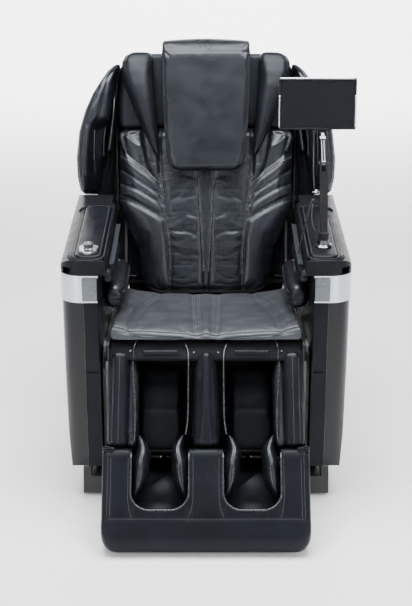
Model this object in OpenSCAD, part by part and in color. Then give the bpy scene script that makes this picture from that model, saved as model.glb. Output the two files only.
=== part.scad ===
// Zero-gravity massage chair: sliding base, arm pods, reclining back with a
// travelling massage robot, lifting leg rest and extending foot section.
// X to the sitter's left as seen from the front, Y to the back, Z up.

/* [Arm pods] */
// Width over the two arm pods
overall_w = 820; // [800:5:860]
// Half of the clear width between the pods
arm_in = 300; // [298:1:310]
// Front face of the pods
arm_front = -270; // [-280:1:-260]
// Underside of the side panels above the floor
panel_low = 98; // [98:1:110]
// Height of the arm top at its front edge
arm_high = 727; // [715:1:730]
// Rise of the arm top per unit of length, towards the back
arm_rise = 0.124; // [0.10:0.002:0.126]
// Radius of the upright corner at the front of a pod
pod_corner = 62; // [50:1:70]
// Wall of the moulded side panels
panel_wall = 6; // [4:0.5:8]

/* [Seat and back] */
// Height of the shaft that the seat and the back turn on
pivot_z = 440; // [438:1:442]
// Distance of that shaft behind the origin
pivot_y = 235; // [234:1:236]
// Lean of the upright backrest from the vertical
back_lean = 18; // [17:0.5:19]
// Height of the seat at its front edge
seat_edge_z = 513; // [508:1:516]
// Half width of the seat cushion
seat_half = 270; // [262:1:271]

/* [Leg rest] */
// Distance of the knee hinge behind the origin
knee_y = -256; // [-258:1:-254]
// Height of the knee hinge
knee_z = 474; // [472:1:476]
// Lean of the leg rest from the vertical, bottom forwards
leg_lean = 37; // [36:0.5:38]
// Half width of the calf section
calf_half = 272.5; // [270:0.5:273]
// Half width of the foot section
foot_half = 282; // [274:1:288]
// End of the foot wells, from the knee hinge down the leg rest
well_end = 470; // [465:1:480]
// Clear width of a foot well
well_w = 158; // [150:1:160]
// Half width of the wall between the foot wells
well_mid = 46; // [44:1:50]

/* [Fittings] */
// Radius of the main shaft
shaft_r = 10; // [9:0.5:11]
// Width of the tablet
tablet_w = 218; // [200:1:225]
// Height of the tablet
tablet_h = 142; // [130:1:150]
// Distance of the tablet mast to the side
mast_x = 332; // [330:1:336]

/* [Hidden] */
$fn = 48;
fit = 0.05;      // running clearance of a pin in its bore, on the radius
gap = 0.5;       // clearance between neighbouring skins

leather = [0.10, 0.10, 0.12];
gloss = [0.06, 0.06, 0.07];
matt = [0.13, 0.13, 0.14];
steel = [0.45, 0.46, 0.48];
silver = [0.80, 0.81, 0.83];
rubber = [0.08, 0.08, 0.08];

// ---------- helpers ----------
function total(v, i = 0) = i >= len(v) ? [0, 0, 0] : v[i] + total(v, i + 1);
function middle(ring) = total(ring) / len(ring);
function mix(a, b, t) = a + (b - a) * t;
function clamp(x, a = 0, b = 1) = min(max(x, a), b);
function ease(t) = let (s = clamp(t)) s * s * (3 - 2 * s);
// the value at x on the broken line through the points [x, value]
function along(x, line, i = 0) =
    x <= line[0][0] ? line[0][1]
    : i >= len(line) - 1 ? line[len(line) - 1][1]
    : x <= line[i + 1][0] ? mix(line[i][1], line[i + 1][1], (x - line[i][0]) / (line[i + 1][0] - line[i][0]))
    : along(x, line, i + 1);

// a closed skin over rings of equal length, with a fan at each end
module loft(rings) {
    n = len(rings[0]);
    m = len(rings);
    points = concat([for (r = rings) each r], [middle(rings[0]), middle(rings[m - 1])]);
    sides = [for (i = [0:m - 2]) for (j = [0:n - 1])
        let (a = i * n + j, b = i * n + (j + 1) % n) each [[b, a, a + n], [b, a + n, b + n]]];
    low = [for (j = [0:n - 1]) [m * n, j, (j + 1) % n]];
    high = [for (j = [0:n - 1]) [m * n + 1, (m - 1) * n + (j + 1) % n, (m - 1) * n + j]];
    polyhedron(points, concat(sides, low, high), convexity = 8);
}

// rounded rectangle, counter-clockwise, with k points to a corner
function rounded(u0, u1, v0, v1, r, k = 5) =
    [for (c = [[u1 - r, v0 + r, -90], [u1 - r, v1 - r, 0], [u0 + r, v1 - r, 90], [u0 + r, v0 + r, 180]])
        for (i = [0:k - 1]) let (a = c[2] + 90 * i / (k - 1)) [c[0] + r * cos(a), c[1] + r * sin(a)]];
function inset(u0, u1, v0, v1, r, d, k = 5) =
    rounded(u0 + d, u1 - d, v0 + d, v1 - d, max(r - d, 3), k);

// insets and heights of a crowned pad: sides drawn in at the foot, round shoulder, crown
function puff(thick, round_r, crown, span) =
    [[round_r * 0.5, 0], [0, thick * 0.3], [0, thick - round_r],
     [round_r * 0.3, thick - round_r * 0.3], [round_r, thick],
     [mix(round_r, span, 0.35), thick + crown * 0.65], [mix(round_r, span, 0.75), thick + crown]];

module bar(size, at) { translate(at) cube(size, center = true); }
module rod_x(r, x0, x1, y, z) { translate([x0, y, z]) rotate([0, 90, 0]) cylinder(r = r, h = x1 - x0); }
module in_back() { translate([0, pivot_y, pivot_z]) rotate([-back_lean, 0, 0]) children(); }
module in_leg() { translate([0, knee_y, knee_z]) rotate([-leg_lean, 0, 0]) children(); }
module right_side() { mirror([1, 0, 0]) children(); }
module both_sides() { children(); mirror([1, 0, 0]) children(); }

// a cushion with its face towards -y and its length along z: wide(z) is its half width,
// face(u, z) the y of its face with u from -1 to 1, back(z) the y of its underside
module cushion(z0, z1, rows, cols, wide, face, back, squeeze = 0.4) {
    rings = [for (i = [0:rows])
        let (t = i / rows, z = mix(z0, z1, t), w = wide(z),
            e = squeeze + (1 - squeeze) * pow(max(1 - pow(abs(2 * t - 1), 9), 0), 0.4),
            draw = mix(0.93, 1, e))
        concat(
            [for (j = [0:cols])
                let (u = 2 * j / cols - 1,
                    s = squeeze + (1 - squeeze) * pow(max(1 - pow(abs(u), 9), 0), 0.4))
                [w * u * draw, back(z) + (face(u, z) - back(z)) * s * e, z]],
            [[w * 0.96 * draw, back(z), z], [-w * 0.96 * draw, back(z), z]])];
    loft(rings);
}
// a bar-shaped pad along z, rounded at both ends, from a rounded rectangle in x and y
module bar_pad(x0, x1, y0, y1, z0, z1, r, end = 14) {
    steps = [[0, end * 0.75], [0.25, end * 0.25], [1, 0], [-1, 0], [-0.25, end * 0.25], [0, end * 0.75]];
    loft([for (k = [0:5])
        let (z = k < 3 ? z0 + steps[k][0] * end : z1 + steps[k][0] * end, ring = inset(x0, x1, y0, y1, r, steps[k][1]))
        [for (p = ring) [p[0], p[1], z]]]);
}

// ---------- base ----------
rail_x = 318;
module rail(x) { translate([x - 18, -225, 24]) cube([36, 560, 34]); }
module base_frame() color(steel) {
    difference() {
        union() {
            both_sides() difference() {
                rail(rail_x);
                translate([rail_x - 14, -226, 28]) cube([28, 562, 26]);
            }
            for (y = [-60, 60, 262]) translate([-rail_x + 18, y, 28]) cube([2 * rail_x - 36, 34, 26]);
            // guide blocks that the carriage slides on
            both_sides() for (y = [-170, 170]) translate([rail_x - 12, y, 58]) cube([24, 60, 12]);
            both_sides() translate([rail_x - 34, 322, 28]) cube([16, 30, 28]);
        }
        rod_x(6 + fit, -400, 400, 342, 42);
    }
}
// flared skirt over the end of a rail, its outer wing higher than its top
module shoe() difference() {
    rotate([90, 0, 90]) translate([0, 0, 300.5]) linear_extrude(61.5)
        polygon([[-6, 8], [96, 8], [84, 62], [76, 86], [12, 86], [4, 62]]);
    translate([rail_x - 18 - gap, 13 - gap, 0]) cube([36 + 2 * gap, 120, 58 + gap]);
    translate([290, -20, 58]) cube([rail_x + 22 - 290, 160, 40]);
    translate([rail_x, 33, 0]) cylinder(r = 20 + gap, h = 30);
}
module base_shoes() color(matt) both_sides() {
    translate([0, -238, 0]) shoe();
    translate([0, 348, 0]) mirror([0, 1, 0]) shoe();
}
module rubber_feet() color(rubber) both_sides() for (y = [-205, 315])
    translate([rail_x, y, 0]) cylinder(r = 20, h = 24);
// appliance inlet and the switch's well, in one housing on the rear cross member
module power_inlet() color(matt) difference() {
    translate([156, 296, 32]) cube([92, 22, 34]);
    translate([210, 304, 38]) cube([28, 20, 22]);
    translate([163, 299, 36]) cube([30, 20, 26]);
    rod_x(3 + fit, 158, 198, 311, 49);
}
module power_switch() color(rubber) difference() {
    union() {
        rod_x(3, 158.5, 197.5, 311, 49);
        translate([165, 307, 38.5]) cube([26, 13, 21]);
    }
    translate([164, 321, 49]) rotate([0, 90, 0]) cylinder(r = 3, h = 28);
}
module transport_wheels() color(rubber) {
    rod_x(6, -rail_x + 17.5, rail_x - 17.5, 342, 42);
    both_sides() rotate([0, 90, 0]) translate([-42, 342, rail_x - 62]) rotate_extrude()
        polygon([[6, 0], [26, 0], [30, 4], [30, 20], [26, 24], [6, 24]]);
}
module air_pump() color(matt) {
    translate([-190, -40, 54.2]) cube([130, 124, 70]);
    for (x = [-165, -85]) translate([x, 22, 124]) cylinder(r = 24, h = 22);
}
module control_box() color(steel) translate([40, -44, 54.2]) difference() {
    cube([160, 130, 62]);
    for (i = [0:5]) translate([20 + i * 22, -1, 40]) cube([10, 6, 16]);
}

// ---------- carriage: side plates, shaft, seat frame ----------
module carriage_frame() color(steel) {
    both_sides() difference() {
        translate([288, 0, 0]) rotate([90, 0, 90]) linear_extrude(8)
            polygon([[-240, 90], [330, 90], [330, 150], [285, 430], [270, 478], [200, 478],
                [180, 440], [-210, 440], [-240, 400]]);
        rod_x(shaft_r + fit, 200, 320, pivot_y, pivot_z);
        for (y = [-120, 20, 160]) rod_x(44, 200, 320, y, 270);
    }
    // sliders on the rails' guide blocks
    both_sides() for (y = [-190, 130]) difference() {
        translate([296, y, 70 + gap]) cube([40, 100, 26]);
        translate([rail_x - 12 - gap, y - 1, 60]) cube([24 + 2 * gap, 102, 14]);
    }
    // cross tubes between the side plates
    rod_x(14, -288, 288, -60, 180);
    rod_x(14, -288, 288, 290, 180);
    // bracket under the recline actuator
    translate([66, -74, 186]) cube([8, 28, pivot_z - crank - 76.3 - 186]);
}
module pivot_shaft() color(steel) {
    rod_x(shaft_r, -296, 296, pivot_y, pivot_z);
}
module seat_frame() color(steel) {
    both_sides() difference() {
        union() {
            translate([274, -170, 408]) cube([14, 325, 30]);
            // knee lugs
            translate([281, 0, 0]) rotate([90, 0, 90]) linear_extrude(7)
                polygon([[-150, 408], [-150, 438], [-205, 458], [-240, 492], [-262, 492], [-274, 482], [-274, 464],
                    [-262, 454], [-236, 440], [-200, 408]]);
            rod_x(8, 273, 282, knee_y, knee_z);
        }
        translate([273, -140, 412]) cube([8, 300, 22]);
    }
    for (y = [-130, 0, 110]) translate([-281, y, 416]) cube([562, 26, 6]);
}

// ---------- arm pods ----------
half_w = overall_w / 2;
pod_rear = 385;
band_low = 608;
band_high = 686;
sweep_r = 350;    // the wings pass outside this radius round the shaft
function arm_top(y) = arm_high + (y - arm_front) * arm_rise;
pod_side = concat(
    [[arm_front + 24, panel_low], [arm_front + 8, panel_low + 8], [arm_front + 2, panel_low + 40],
     [arm_front, band_low], [arm_front, arm_high]],
    [for (a = [-6:3:24]) [pivot_y + sweep_r * sin(a), pivot_z + sweep_r * cos(a)]],
    [[pod_rear - 1, 660], [pod_rear - 4, 480], [pod_rear - 30, 250], [pod_rear - 60, panel_low + 12],
     [pod_rear - 76, panel_low]]);
// plan of a pod, its two outer corners rounded, drawn in by d on the outer faces
module pod_plan(d, inner) {
    r = pod_corner - d;
    x = half_w - d;
    y0 = arm_front + d;
    y1 = pod_rear - d;
    translate([inner, y0]) square([x - r - inner, y1 - y0]);
    translate([inner, y0 + r]) square([x - inner, y1 - y0 - 2 * r]);
    for (y = [y0 + r, y1 - r]) translate([x - r, y]) intersection() {
        circle(r);
        translate([0, -r]) square([r, 2 * r]);
    }
}
// the pod as a block between two heights, tucked in towards the floor
module pod_block(d, z0, z1, inner = arm_in) {
    intersection() {
        translate([0, 0, z0]) linear_extrude(z1 - z0) pod_plan(d, inner);
        translate([inner - 20, 0, 0]) rotate([90, 0, 90]) linear_extrude(half_w) polygon(pod_side);
        translate([0, 500, 0]) rotate([90, 0, 0]) linear_extrude(1000)
            polygon([[inner - 10, 60], [half_w - 18 - d, 60], [half_w - 8 - d, 200], [half_w - 3 - d, 420],
                [half_w - d, 650], [half_w - d, 860], [inner - 10, 860]]);
    }
}
front_strip = arm_in + 42;
module side_panel() color(gloss) difference() {
    pod_block(3, panel_low, band_low - gap);
    pod_block(3 + panel_wall, panel_low - 1, band_low + 1, arm_in + 4);
    translate([280, arm_front - 5, panel_low - 1]) cube([front_strip - 280 + gap, 20, 600]);
}
module side_band() color(silver) difference() {
    pod_block(0, band_low, band_high);
    pod_block(panel_wall, band_low - 1, band_high + 1, arm_in + 4);
}
module front_fascia() color(matt) both_sides() difference() {
    translate([arm_in, arm_front + 5, 104]) cube([front_strip - arm_in, 9, band_low - 106]);
    // finger slot across the strip
    translate([arm_in + 6, arm_front, 396]) cube([front_strip - arm_in - 12, 9, 12]);
    translate([arm_in - 1, arm_front, 103]) rotate([8, 0, 0]) cube([60, 8, 60]);
}
arm_tilt = atan(arm_rise);
module on_arm() { translate([0, arm_front, arm_high]) rotate([arm_tilt, 0, 0]) children(); }
pad_x0 = 290;
pad_x1 = 368;
pad_y0 = 22;
pad_y1 = 430;
// the moulded rim: rolled outer shoulder, recess for the pad, open underneath
module armrest_rim() color(gloss) difference() {
    intersection() {
        pod_block(1, band_high + gap, 830, 280);
        on_arm() translate([0, 700, 0]) rotate([90, 0, 0]) linear_extrude(760)
            polygon(concat([[278, -120], [half_w + 5, -120], [half_w + 5, -34]],
                [for (a = [0:15:90]) [half_w - 40 + 39 * cos(a), -34 + 34 * sin(a)]],
                [[290, 0], [283, -3], [278, -10]]));
    }
    on_arm() translate([0, 0, -12]) linear_extrude(40)
        polygon(rounded(pad_x0 - 1, pad_x1 + 1, pad_y0 - 1, pad_y1 + 1, 27, 7));
    translate([286, arm_front + 8, band_high - 5]) cube([half_w - 296, pod_rear - arm_front - 20, 26]);
    translate([260, 190, band_high - 5]) cube([32, 240, 150]);
}
module armrest_pad() color(leather) on_arm() {
    levels = puff(14, 6, 4, 34);
    loft([for (l = levels) [for (p = inset(pad_x0, pad_x1, pad_y0, pad_y1, 26, l[0], 7))
        [p[0], p[1], -12 + gap + l[1]]]]);
}
// pads on the pods' inner walls: an upper roll and a fuller lower one
module arm_airbags() color(leather) both_sides() {
    rotate([-90, 0, 0]) {
        bar_pad(262, 299, -684, -636, -190, 150, 16, 18);
        bar_pad(232, 299, -630, -552, -170, 130, 26, 40);
    }
}

// ---------- controls and tablet stand ----------
module on_pad(x, y) { on_arm() translate([x, y, 7]) children(); }
plate_at = [-330, 62];
// shield-shaped plate with a turning knob and a push button
module control_bezel() color(silver) on_pad(plate_at[0], plate_at[1]) difference() {
    linear_extrude(6) polygon(concat(
        [for (a = [0:15:180]) [27 * cos(a), 16 + 20 * sin(a)]], [[-24, -12], [-8, -32], [8, -32], [24, -12]]));
    translate([0, 12, -1]) cylinder(r = 11 + fit, h = 10);
    translate([0, -17, -1]) cylinder(r = 6 + fit, h = 10);
}
module control_knob() color(gloss) on_pad(plate_at[0], plate_at[1]) translate([0, 12, 0.5]) {
    cylinder(r = 11, h = 9);
    translate([0, 0, 9]) difference() {
        cylinder(r = 14, h = 9);
        for (a = [0:30:330]) rotate([0, 0, a]) translate([15, 0, -1]) cylinder(r = 2, h = 11, $fn = 16);
    }
}
module control_button() color(gloss) on_pad(plate_at[0], plate_at[1]) translate([0, -17, 2.5]) {
    cylinder(r = 6, h = 6);
    translate([0, 0, -2]) cylinder(r = 4, h = 2);
}
mast_y = 98;
module mast_socket() color(silver) on_pad(mast_x, mast_y) rotate_extrude()
    polygon([[8 + fit, 0], [24, 0], [24, 4], [17, 8], [15, 22], [8 + fit, 22]]);
mast_lean = 20;
elbow_up = 212;
// lower arm: knuckle in the socket, leaning flat bar, clevis for the elbow
module in_mast() { on_pad(mast_x, mast_y) translate([0, 0, 24]) rotate([-mast_lean + 7 - 14, 0, 0]) children(); }
module tablet_arm_lower() color(matt) {
    on_pad(mast_x, mast_y) {
        translate([0, 0, 0.5]) cylinder(r = 8, h = 22.5);
        translate([0, 0, 22.5]) cylinder(r = 15, h = 20);
    }
    in_mast() {
        translate([-10, -7, 16]) cube([20, 14, 34]);
        translate([-11, -6, 50]) cube([22, 12, elbow_up - 74]);
        both_sides() difference() {
            translate([6, -9, elbow_up - 24]) cube([5, 18, 34]);
            rod_x(4 + fit, 0, 20, 0, elbow_up);
        }
        // cable clip
        translate([-26, -3, 100]) cube([15, 3, 6]);
        translate([-26, 2, 100]) difference() {
            cylinder(r = 5.5, h = 6);
            translate([0, 0, -1]) cylinder(r = 3, h = 8);
        }
    }
}
fold = 18;        // the upper arm leans this much more than the lower one
rod_len = 84;
module in_elbow() { in_mast() translate([0, 0, elbow_up]) rotate([-fold, 0, 0]) children(); }
module tablet_arm_upper() color(steel) in_elbow() {
    rod_x(4, -13, 13, 0, 0);
    rotate([0, 90, 0]) translate([0, 0, -5.5]) difference() {
        cylinder(r = 9, h = 11);
        translate([0, 0, -1]) cylinder(r = 4 - 0.5, h = 13);
    }
    both_sides() translate([3.4, 0, 8]) cylinder(r = 2.4, h = rod_len - 14);
    translate([-8, -6, rod_len - 10]) cube([16, 12, 8]);
    difference() {
        translate([-4, -6, rod_len - 2]) cube([8, 12, 14]);
        rod_x(3 + fit, -20, 20, 0, rod_len + 5);
    }
}
tablet_lean = -12;
// the tablet hangs on a small fork whose pin is the tilt axis
module in_tablet() {
    in_elbow() translate([0, 0, rod_len + 5]) rotate([mast_lean + fold + 7 + tablet_lean, 0, 0]) children();
}
tab_x = 315.5 - 332;
module tablet() color(gloss) in_tablet() {
    rod_x(3, -9, 9, 0, 0);
    both_sides() translate([4.6, -4.5, -4]) cube([4.4, 9, 17]);
    translate([-20, -4, 13]) cube([40, 8, 10]);
    difference() {
        translate([tab_x - tablet_w / 2, -9, 17]) rotate([90, 0, 90]) linear_extrude(tablet_w)
            polygon(rounded(0, 15, 0, tablet_h, 5, 5));
        translate([tab_x - tablet_w / 2 + 5, -12, 23]) cube([tablet_w - 10, 6, tablet_h - 12]);
        translate([-21, -4.5, 12]) cube([42, 9, 11.5]);
    }
    translate([-24, -3, 8]) cylinder(r = 4, h = 9);
}
module tablet_screen() color([0.03, 0.03, 0.04]) in_tablet()
    translate([tab_x - tablet_w / 2 + 5 + gap, -8.8, 23 + gap])
        cube([tablet_w - 10 - 2 * gap, 2.6, tablet_h - 12 - 2 * gap]);
// a round lead along hand-set points, in real positions
cord_r = 2;
module lead(route) color(rubber) {
    n = len(route) - 1;
    curve = [for (i = [0:n - 1]) for (t = [0:0.34:0.99])
        let (p0 = route[max(i - 1, 0)], p1 = route[i], p2 = route[i + 1], p3 = route[min(i + 2, n)])
        p1 * 1 + (p2 - p0) * (t / 2) + (p0 * 2 - p1 * 5 + p2 * 4 - p3) * (t * t / 2)
            + (p1 * 3 - p0 - p2 * 3 + p3) * (t * t * t / 2)];
    path = concat(curve, [route[n]]);
    m = len(path) - 1;
    loft([for (i = [0:m])
        let (d = path[min(i + 1, m)] - path[max(i - 1, 0)], w = d / norm(d),
            u = cross(w, [0, 1, 0.3]), a = u / norm(u), b = cross(w, a))
        [for (k = [0:7]) path[i] + cord_r * (a * cos(k * 45) + b * sin(k * 45))]]);
}
cable_upper_route = [[309, -21, 1056], [309, -24, 1040], [308, -40, 1012], [307, -62, 974], [306, -84, 936],
    [307, -97, 910], [308, -104, 893]];
cable_loop_route = [[306, -114, 868], [302, -124, 846], [300, -138, 820], [303, -150, 798], [310, -155, 786]];
cable_lower_route = [[303, -106, 866], [297, -104, 846], [290, -102, 810], [281, -101, 770], [272, -102, 730],
    [268, -103, 712], [269, -104, 703], [273, -104, 699], [277.6, -104, 698]];
module cable_upper() lead(cable_upper_route);
module cable_loop() lead(cable_loop_route);
module cable_lower() lead(cable_lower_route);

// ---------- actuators ----------
crank = 96;       // reach of the crank arms on the back and on the leg rest
module recline_actuator() color(matt) translate([70, 145, pivot_z - crank]) {
    difference() {
        union() {
            rotate([90, 0, 0]) cylinder(r = 22, h = 217);
            // gearbox below the tube's end, over the motor
            translate([-24, -217, -30]) cube([48, 70, 24]);
        }
        rotate([90, 0, 0]) translate([0, 0, -1]) cylinder(r = 11 + fit, h = 199);
    }
    translate([0, -217, -50]) rotate([0, 90, 0]) cylinder(r = 26, h = 90, center = true);
}
module recline_rod() color(silver) translate([70, 0, pivot_z - crank]) {
    translate([0, 218, 0]) rotate([90, 0, 0]) cylinder(r = 11, h = 170);
    difference() {
        translate([-7, pivot_y, 0]) rotate([0, 90, 0]) cylinder(r = 18, h = 14);
        translate([-8, pivot_y, 0]) rotate([0, 90, 0]) cylinder(r = 8, h = 16);
    }
}
leg_act_x = -70;
leg_act_z = 349;
leg_crank_y = -190;
module leg_actuator() color(matt) translate([leg_act_x, 150, leg_act_z]) {
    difference() {
        union() {
            rotate([90, 0, 0]) cylinder(r = 22, h = 260);
            translate([-24, -78, -30]) cube([48, 70, 24]);
        }
        rotate([90, 0, 0]) translate([0, 0, 19]) cylinder(r = 11 + fit, h = 245);
    }
    translate([0, -40, -50]) rotate([0, 90, 0]) cylinder(r = 26, h = 90, center = true);
    translate([-4, -34, 20]) cube([8, 20, 416 - leg_act_z - 20]);
}
module leg_rod() color(silver) translate([leg_act_x, 0, leg_act_z]) {
    translate([0, 60, 0]) rotate([90, 0, 0]) cylinder(r = 11, h = 60 - leg_crank_y - 16);
    difference() {
        translate([-7, leg_crank_y, 0]) rotate([0, 90, 0]) cylinder(r = 15, h = 14);
        translate([-8, leg_crank_y, 0]) rotate([0, 90, 0]) cylinder(r = 6, h = 16);
    }
}

// ---------- seat ----------
seat_rear = 128;
module seat_cushion() color(leather) rotate([-90, 0, 0])
    cushion(-283, seat_rear, 24, 28,
        function(y) seat_half - 6 * ease((y - 20) / 120),
        function(u, y) let (x = abs(u))
            -(seat_edge_z + 8 - 6 * ease((y + 200) / 200) + 26 * pow(x, 3) - 9 * pow(max(0, (-200 - y) / 90), 2)
                - 5 * exp(-pow((x - 0.055 - 0.02 * ease((y + 280) / 200)) / 0.03, 2))
                - 5 * exp(-pow((x - 0.50 + 0.14 * clamp((y + 283) / 300)) / 0.035, 2))
                - 4 * exp(-pow((y + 262) / 9, 2))),
        function(y) -mix(504, 440, clamp((y + 222) / 22)), 0.5);

// ---------- back ----------
plate_x = 252;
rail_by = 45;
crank_by = crank * sin(back_lean);
crank_bz = -crank * cos(back_lean);
module back_frame() color(steel) in_back() {
    both_sides() difference() {
        translate([plate_x, 0, 0]) rotate([90, 0, 90]) linear_extrude(8) difference() {
            polygon([[-21.5, 30], [-21.5, 745], [86, 745], [114, 722], [114, 124], [60, 60],
                [20, 10], [14, -14], [-14, -14], [-18, 6]]);
            for (z = [220:130:630]) polygon(rounded(-6, 20, z, z + 90, 12));
            for (z = [170:130:600]) polygon(rounded(68, 96, z, z + 90, 12));
        }
        rod_x(shaft_r + fit, 240, 280, 0, 0);
    }
    for (z = [140, 440, 716]) rod_x(8, -plate_x, plate_x, 112, z);
    // pads that the rear cover is screwed to
    for (z = [150, 450, 700]) both_sides()
        translate([plate_x + 8, 30, z - 14]) cube([shell_wide(z) - 6.4 - plate_x - 8, 30, 28]);
    rod_x(9, -plate_x, plate_x, 24, 76);
    // crank for the recline rod
    difference() {
        translate([80, 0, 0]) rotate([90, 0, 90]) linear_extrude(6)
            polygon([[12, 84], [34, 84], [30, 0], [crank_by + 13, crank_bz], [crank_by, crank_bz - 13],
                [crank_by - 13, crank_bz], [-18, 0], [-14, 30]]);
        rod_x(shaft_r + fit, 70, 100, 0, 0);
        rod_x(8, 70, 100, crank_by, crank_bz);
    }
}
module guide_rails() color(silver) in_back() both_sides() difference() {
    translate([226, rail_by - 17, 90]) cube([26, 34, 650]);
    translate([225, rail_by - 13, 89]) cube([24, 26, 652]);
}
// moulded rear cover, open towards the cushions
function shell_wide(z) = along(z, [[60, 281], [300, 283], [480, 287], [620, 292], [720, 288], [770, 268], [801, 226]]);
function shell_deep(z) = along(z, [[60, 128], [110, 142], [200, 154], [400, 166], [600, 164], [720, 154],
    [775, 130], [801, 84]]);
module shell_form(d, z0, z1) loft([for (i = [0:18])
    let (z = mix(z0, z1, i / 18), w = shell_wide(z) - d, deep = shell_deep(z) - d)
    [for (p = concat([for (a = [0:9:90]) [w - 60 + 60 * cos(a), deep - 60 + 60 * sin(a)]],
            [for (a = [90:9:180]) [60 - w + 60 * cos(a), deep - 60 + 60 * sin(a)]], [[-w, -20 - 40 * d], [w, -20 - 40 * d]]))
        [p[0], p[1], z]]]);
module back_shell() color(gloss) in_back() difference() {
    shell_form(0, 60, 801);
    shell_form(5, 50, 795);
}
function back_wide(z) = along(z, [[34, 190], [90, 216], [200, 236], [300, 252], [400, 268], [556, 282]]);
module back_cushion() color(leather) in_back()
    cushion(34, 556, 34, 30, function(z) back_wide(z),
        function(u, z) let (x = abs(u) * back_wide(z), up = clamp((z - 120) / 300),
            seam = mix(112, 128, up), slant = z + 0.42 * x)
            -(88 + 5 * ease(1 - abs(z - 240) / 200)
                - 9 * exp(-pow(x / 7, 2)) * (z < 470 ? 1 : 0.4)
                - 6 * exp(-pow((x - seam) / 6, 2))
                - 5 * (x > seam ? 1 : 0) * (z > 300 ? 1 : 0) * pow(max(0, cos((z - 0.42 * x) * 360 / 44)), 6)
                + 10 * pow(abs(u), 4)),
        function(z) -22, 0.45);
function head_wide(z) = along(z, [[559, 278], [640, 284], [720, 278], [770, 256], [800, 222]]);
module head_cushion() color(leather) in_back()
    cushion(559, 800, 16, 24, function(z) head_wide(z),
        function(u, z) let (x = abs(u) * head_wide(z))
            -(84 + 26 * exp(-pow((x - 205) / 60, 2)) * ease((z - 560) / 80) - 6 * exp(-pow((x - 140) / 8, 2))),
        function(z) -22, 0.45);
// padded shells beside the shoulders
wing_rings = [ // height, inner x, outer x, front, rear
    [352, 352, 392, -44, 26], [362, 344, 402, -74, 40], [400, 334, 408, -108, 56], [460, 322, 409, -128, 68],
    [540, 308, 400, -138, 76], [610, 297, 380, -136, 78], [660, 294, 357, -128, 58], [700, 293.5, 332, -116, 24],
    [734, 285, 310, -100, -21.5], [752, 274, 292, -88, -32], [758, 272, 282, -80, -40]];
module wing_left() color(leather) in_back() loft([for (w = wing_rings)
    [for (p = rounded(w[1], w[2], w[3], w[4], (w[2] - w[1]) * 0.46, 6)) [p[0], p[1], w[0]]]]);
module wing_right() right_side() wing_left();
bag_rings = [[476, 304, 313, -86, -40], [484, 297, 314, -92, -28], [540, 291, 305, -94, -24],
    [600, 287, 296, -92, -24], [652, 286, 292, -80, -26], [664, 287, 291, -72, -40]];
module wing_airbags() color(leather) in_back() both_sides() {
    loft([for (w = bag_rings) [for (p = rounded(w[1], w[2], w[3], w[4], (w[2] - w[1]) * 0.46, 6)) [p[0], p[1], w[0]]]]);
}

// ---------- massage robot ----------
robot_z = 330;    // its middle along the backrest at rest
arm_x = 78;
roller_y = 28;
module in_robot() { in_back() translate([0, 0, robot_z]) children(); }
module roller(x, z) { in_robot() translate([x, roller_y, z]) rotate([0, 90, 0]) translate([0, 0, -17]) children(); }
upper_at = 92;
lower_at = -48;
knead_at = 30;
// cheeks, cross shafts, motors and the sliding shoes that run in the rails
module massage_carriage() color(steel) in_robot() {
    both_sides() difference() {
        translate([206, 0, 0]) rotate([90, 0, 90]) linear_extrude(6)
            polygon([[-2, 10], [10, 52], [60, 76], [96, 60], [96, -60], [60, -78], [14, -64], [-2, -20]]);
        rod_x(14, 190, 230, 70, 32);
    }
    both_sides() for (z = [-55, 55]) {
        rod_x(5, 212, 232, rail_by, z);
        bar([14, 25.4, 30], [239, rail_by, z]);
    }
    rod_x(8, -206, 206, roller_y + 12, knead_at);
    rod_x(5, -206, 206, 84, -20);
    // knead gearbox in the middle and its motor, tap motor beside it
    bar([60, 56, 70], [0, 66, 26]);
    rod_x(20, 30, 140, 84, 40);
    rod_x(18, -140, -30, 86, 6);
    rod_x(19, -34, 34, 84, -20);
    bar([70, 12, 60], [0, 88, -44]);
}
// forked arm, its boss on the knead shaft
module massage_arm() color(silver) in_robot() difference() {
    translate([arm_x - 7, 0, 0]) rotate([90, 0, 90]) linear_extrude(14) difference() {
        polygon(concat(
            [for (a = [20:20:160]) [roller_y + 13 * cos(a), upper_at + 13 * sin(a)]],
            [[roller_y - 13, 76], [roller_y + 4, 34], [roller_y - 12, -34]],
            [for (a = [180:20:340]) [roller_y + 13 * cos(a), lower_at + 13 * sin(a)]],
            [[roller_y + 14, -36], [roller_y + 26, 6], [roller_y + 32, knead_at], [roller_y + 26, 52],
                [roller_y + 14, 84]]));
    }
    rod_x(8 + fit, 50, 110, roller_y + 12, knead_at);
    for (z = [upper_at, lower_at]) rod_x(5 + fit, 50, 110, roller_y, z);
}
// a roller with its pin through the arm's bore, tyres on both sides of the arm
module massage_roller() color(matt) {
    rotate_extrude() polygon(concat(
        [[0, -6], [20, -6]], [for (a = [-90:15:90]) [23 + 9 * cos(a), 2 + 7.5 * sin(a)]], [[20, 9.4], [5, 9.4], [5, 24.6], [20, 24.6]],
        [for (a = [-90:15:90]) [23 + 9 * cos(a), 32 + 7.5 * sin(a)]], [[20, 40], [0, 40]]));
}

// ---------- head pillow ----------
module head_pillow() color(leather) in_back() {
    cushion(398, 806, 20, 20, function(z) along(z, [[398, 104], [430, 116], [560, 128], [806, 143]]),
        function(u, z) -(139 + 6 * ease((z - 398) / 60) - 10 * pow(abs(u), 3) - 14 * ease((z - 700) / 110)),
        function(z) -111, 0.45);
    translate([-136, 0, 0]) rotate([90, 0, 90]) linear_extrude(272)
        polygon([[-111, 780], [-128, 796], [-128, 812], [-116, 824], [-92, 830], [-34, 830], [-24, 822], [-24, 806],
            [-98, 806], [-108, 796]]);
}

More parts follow.
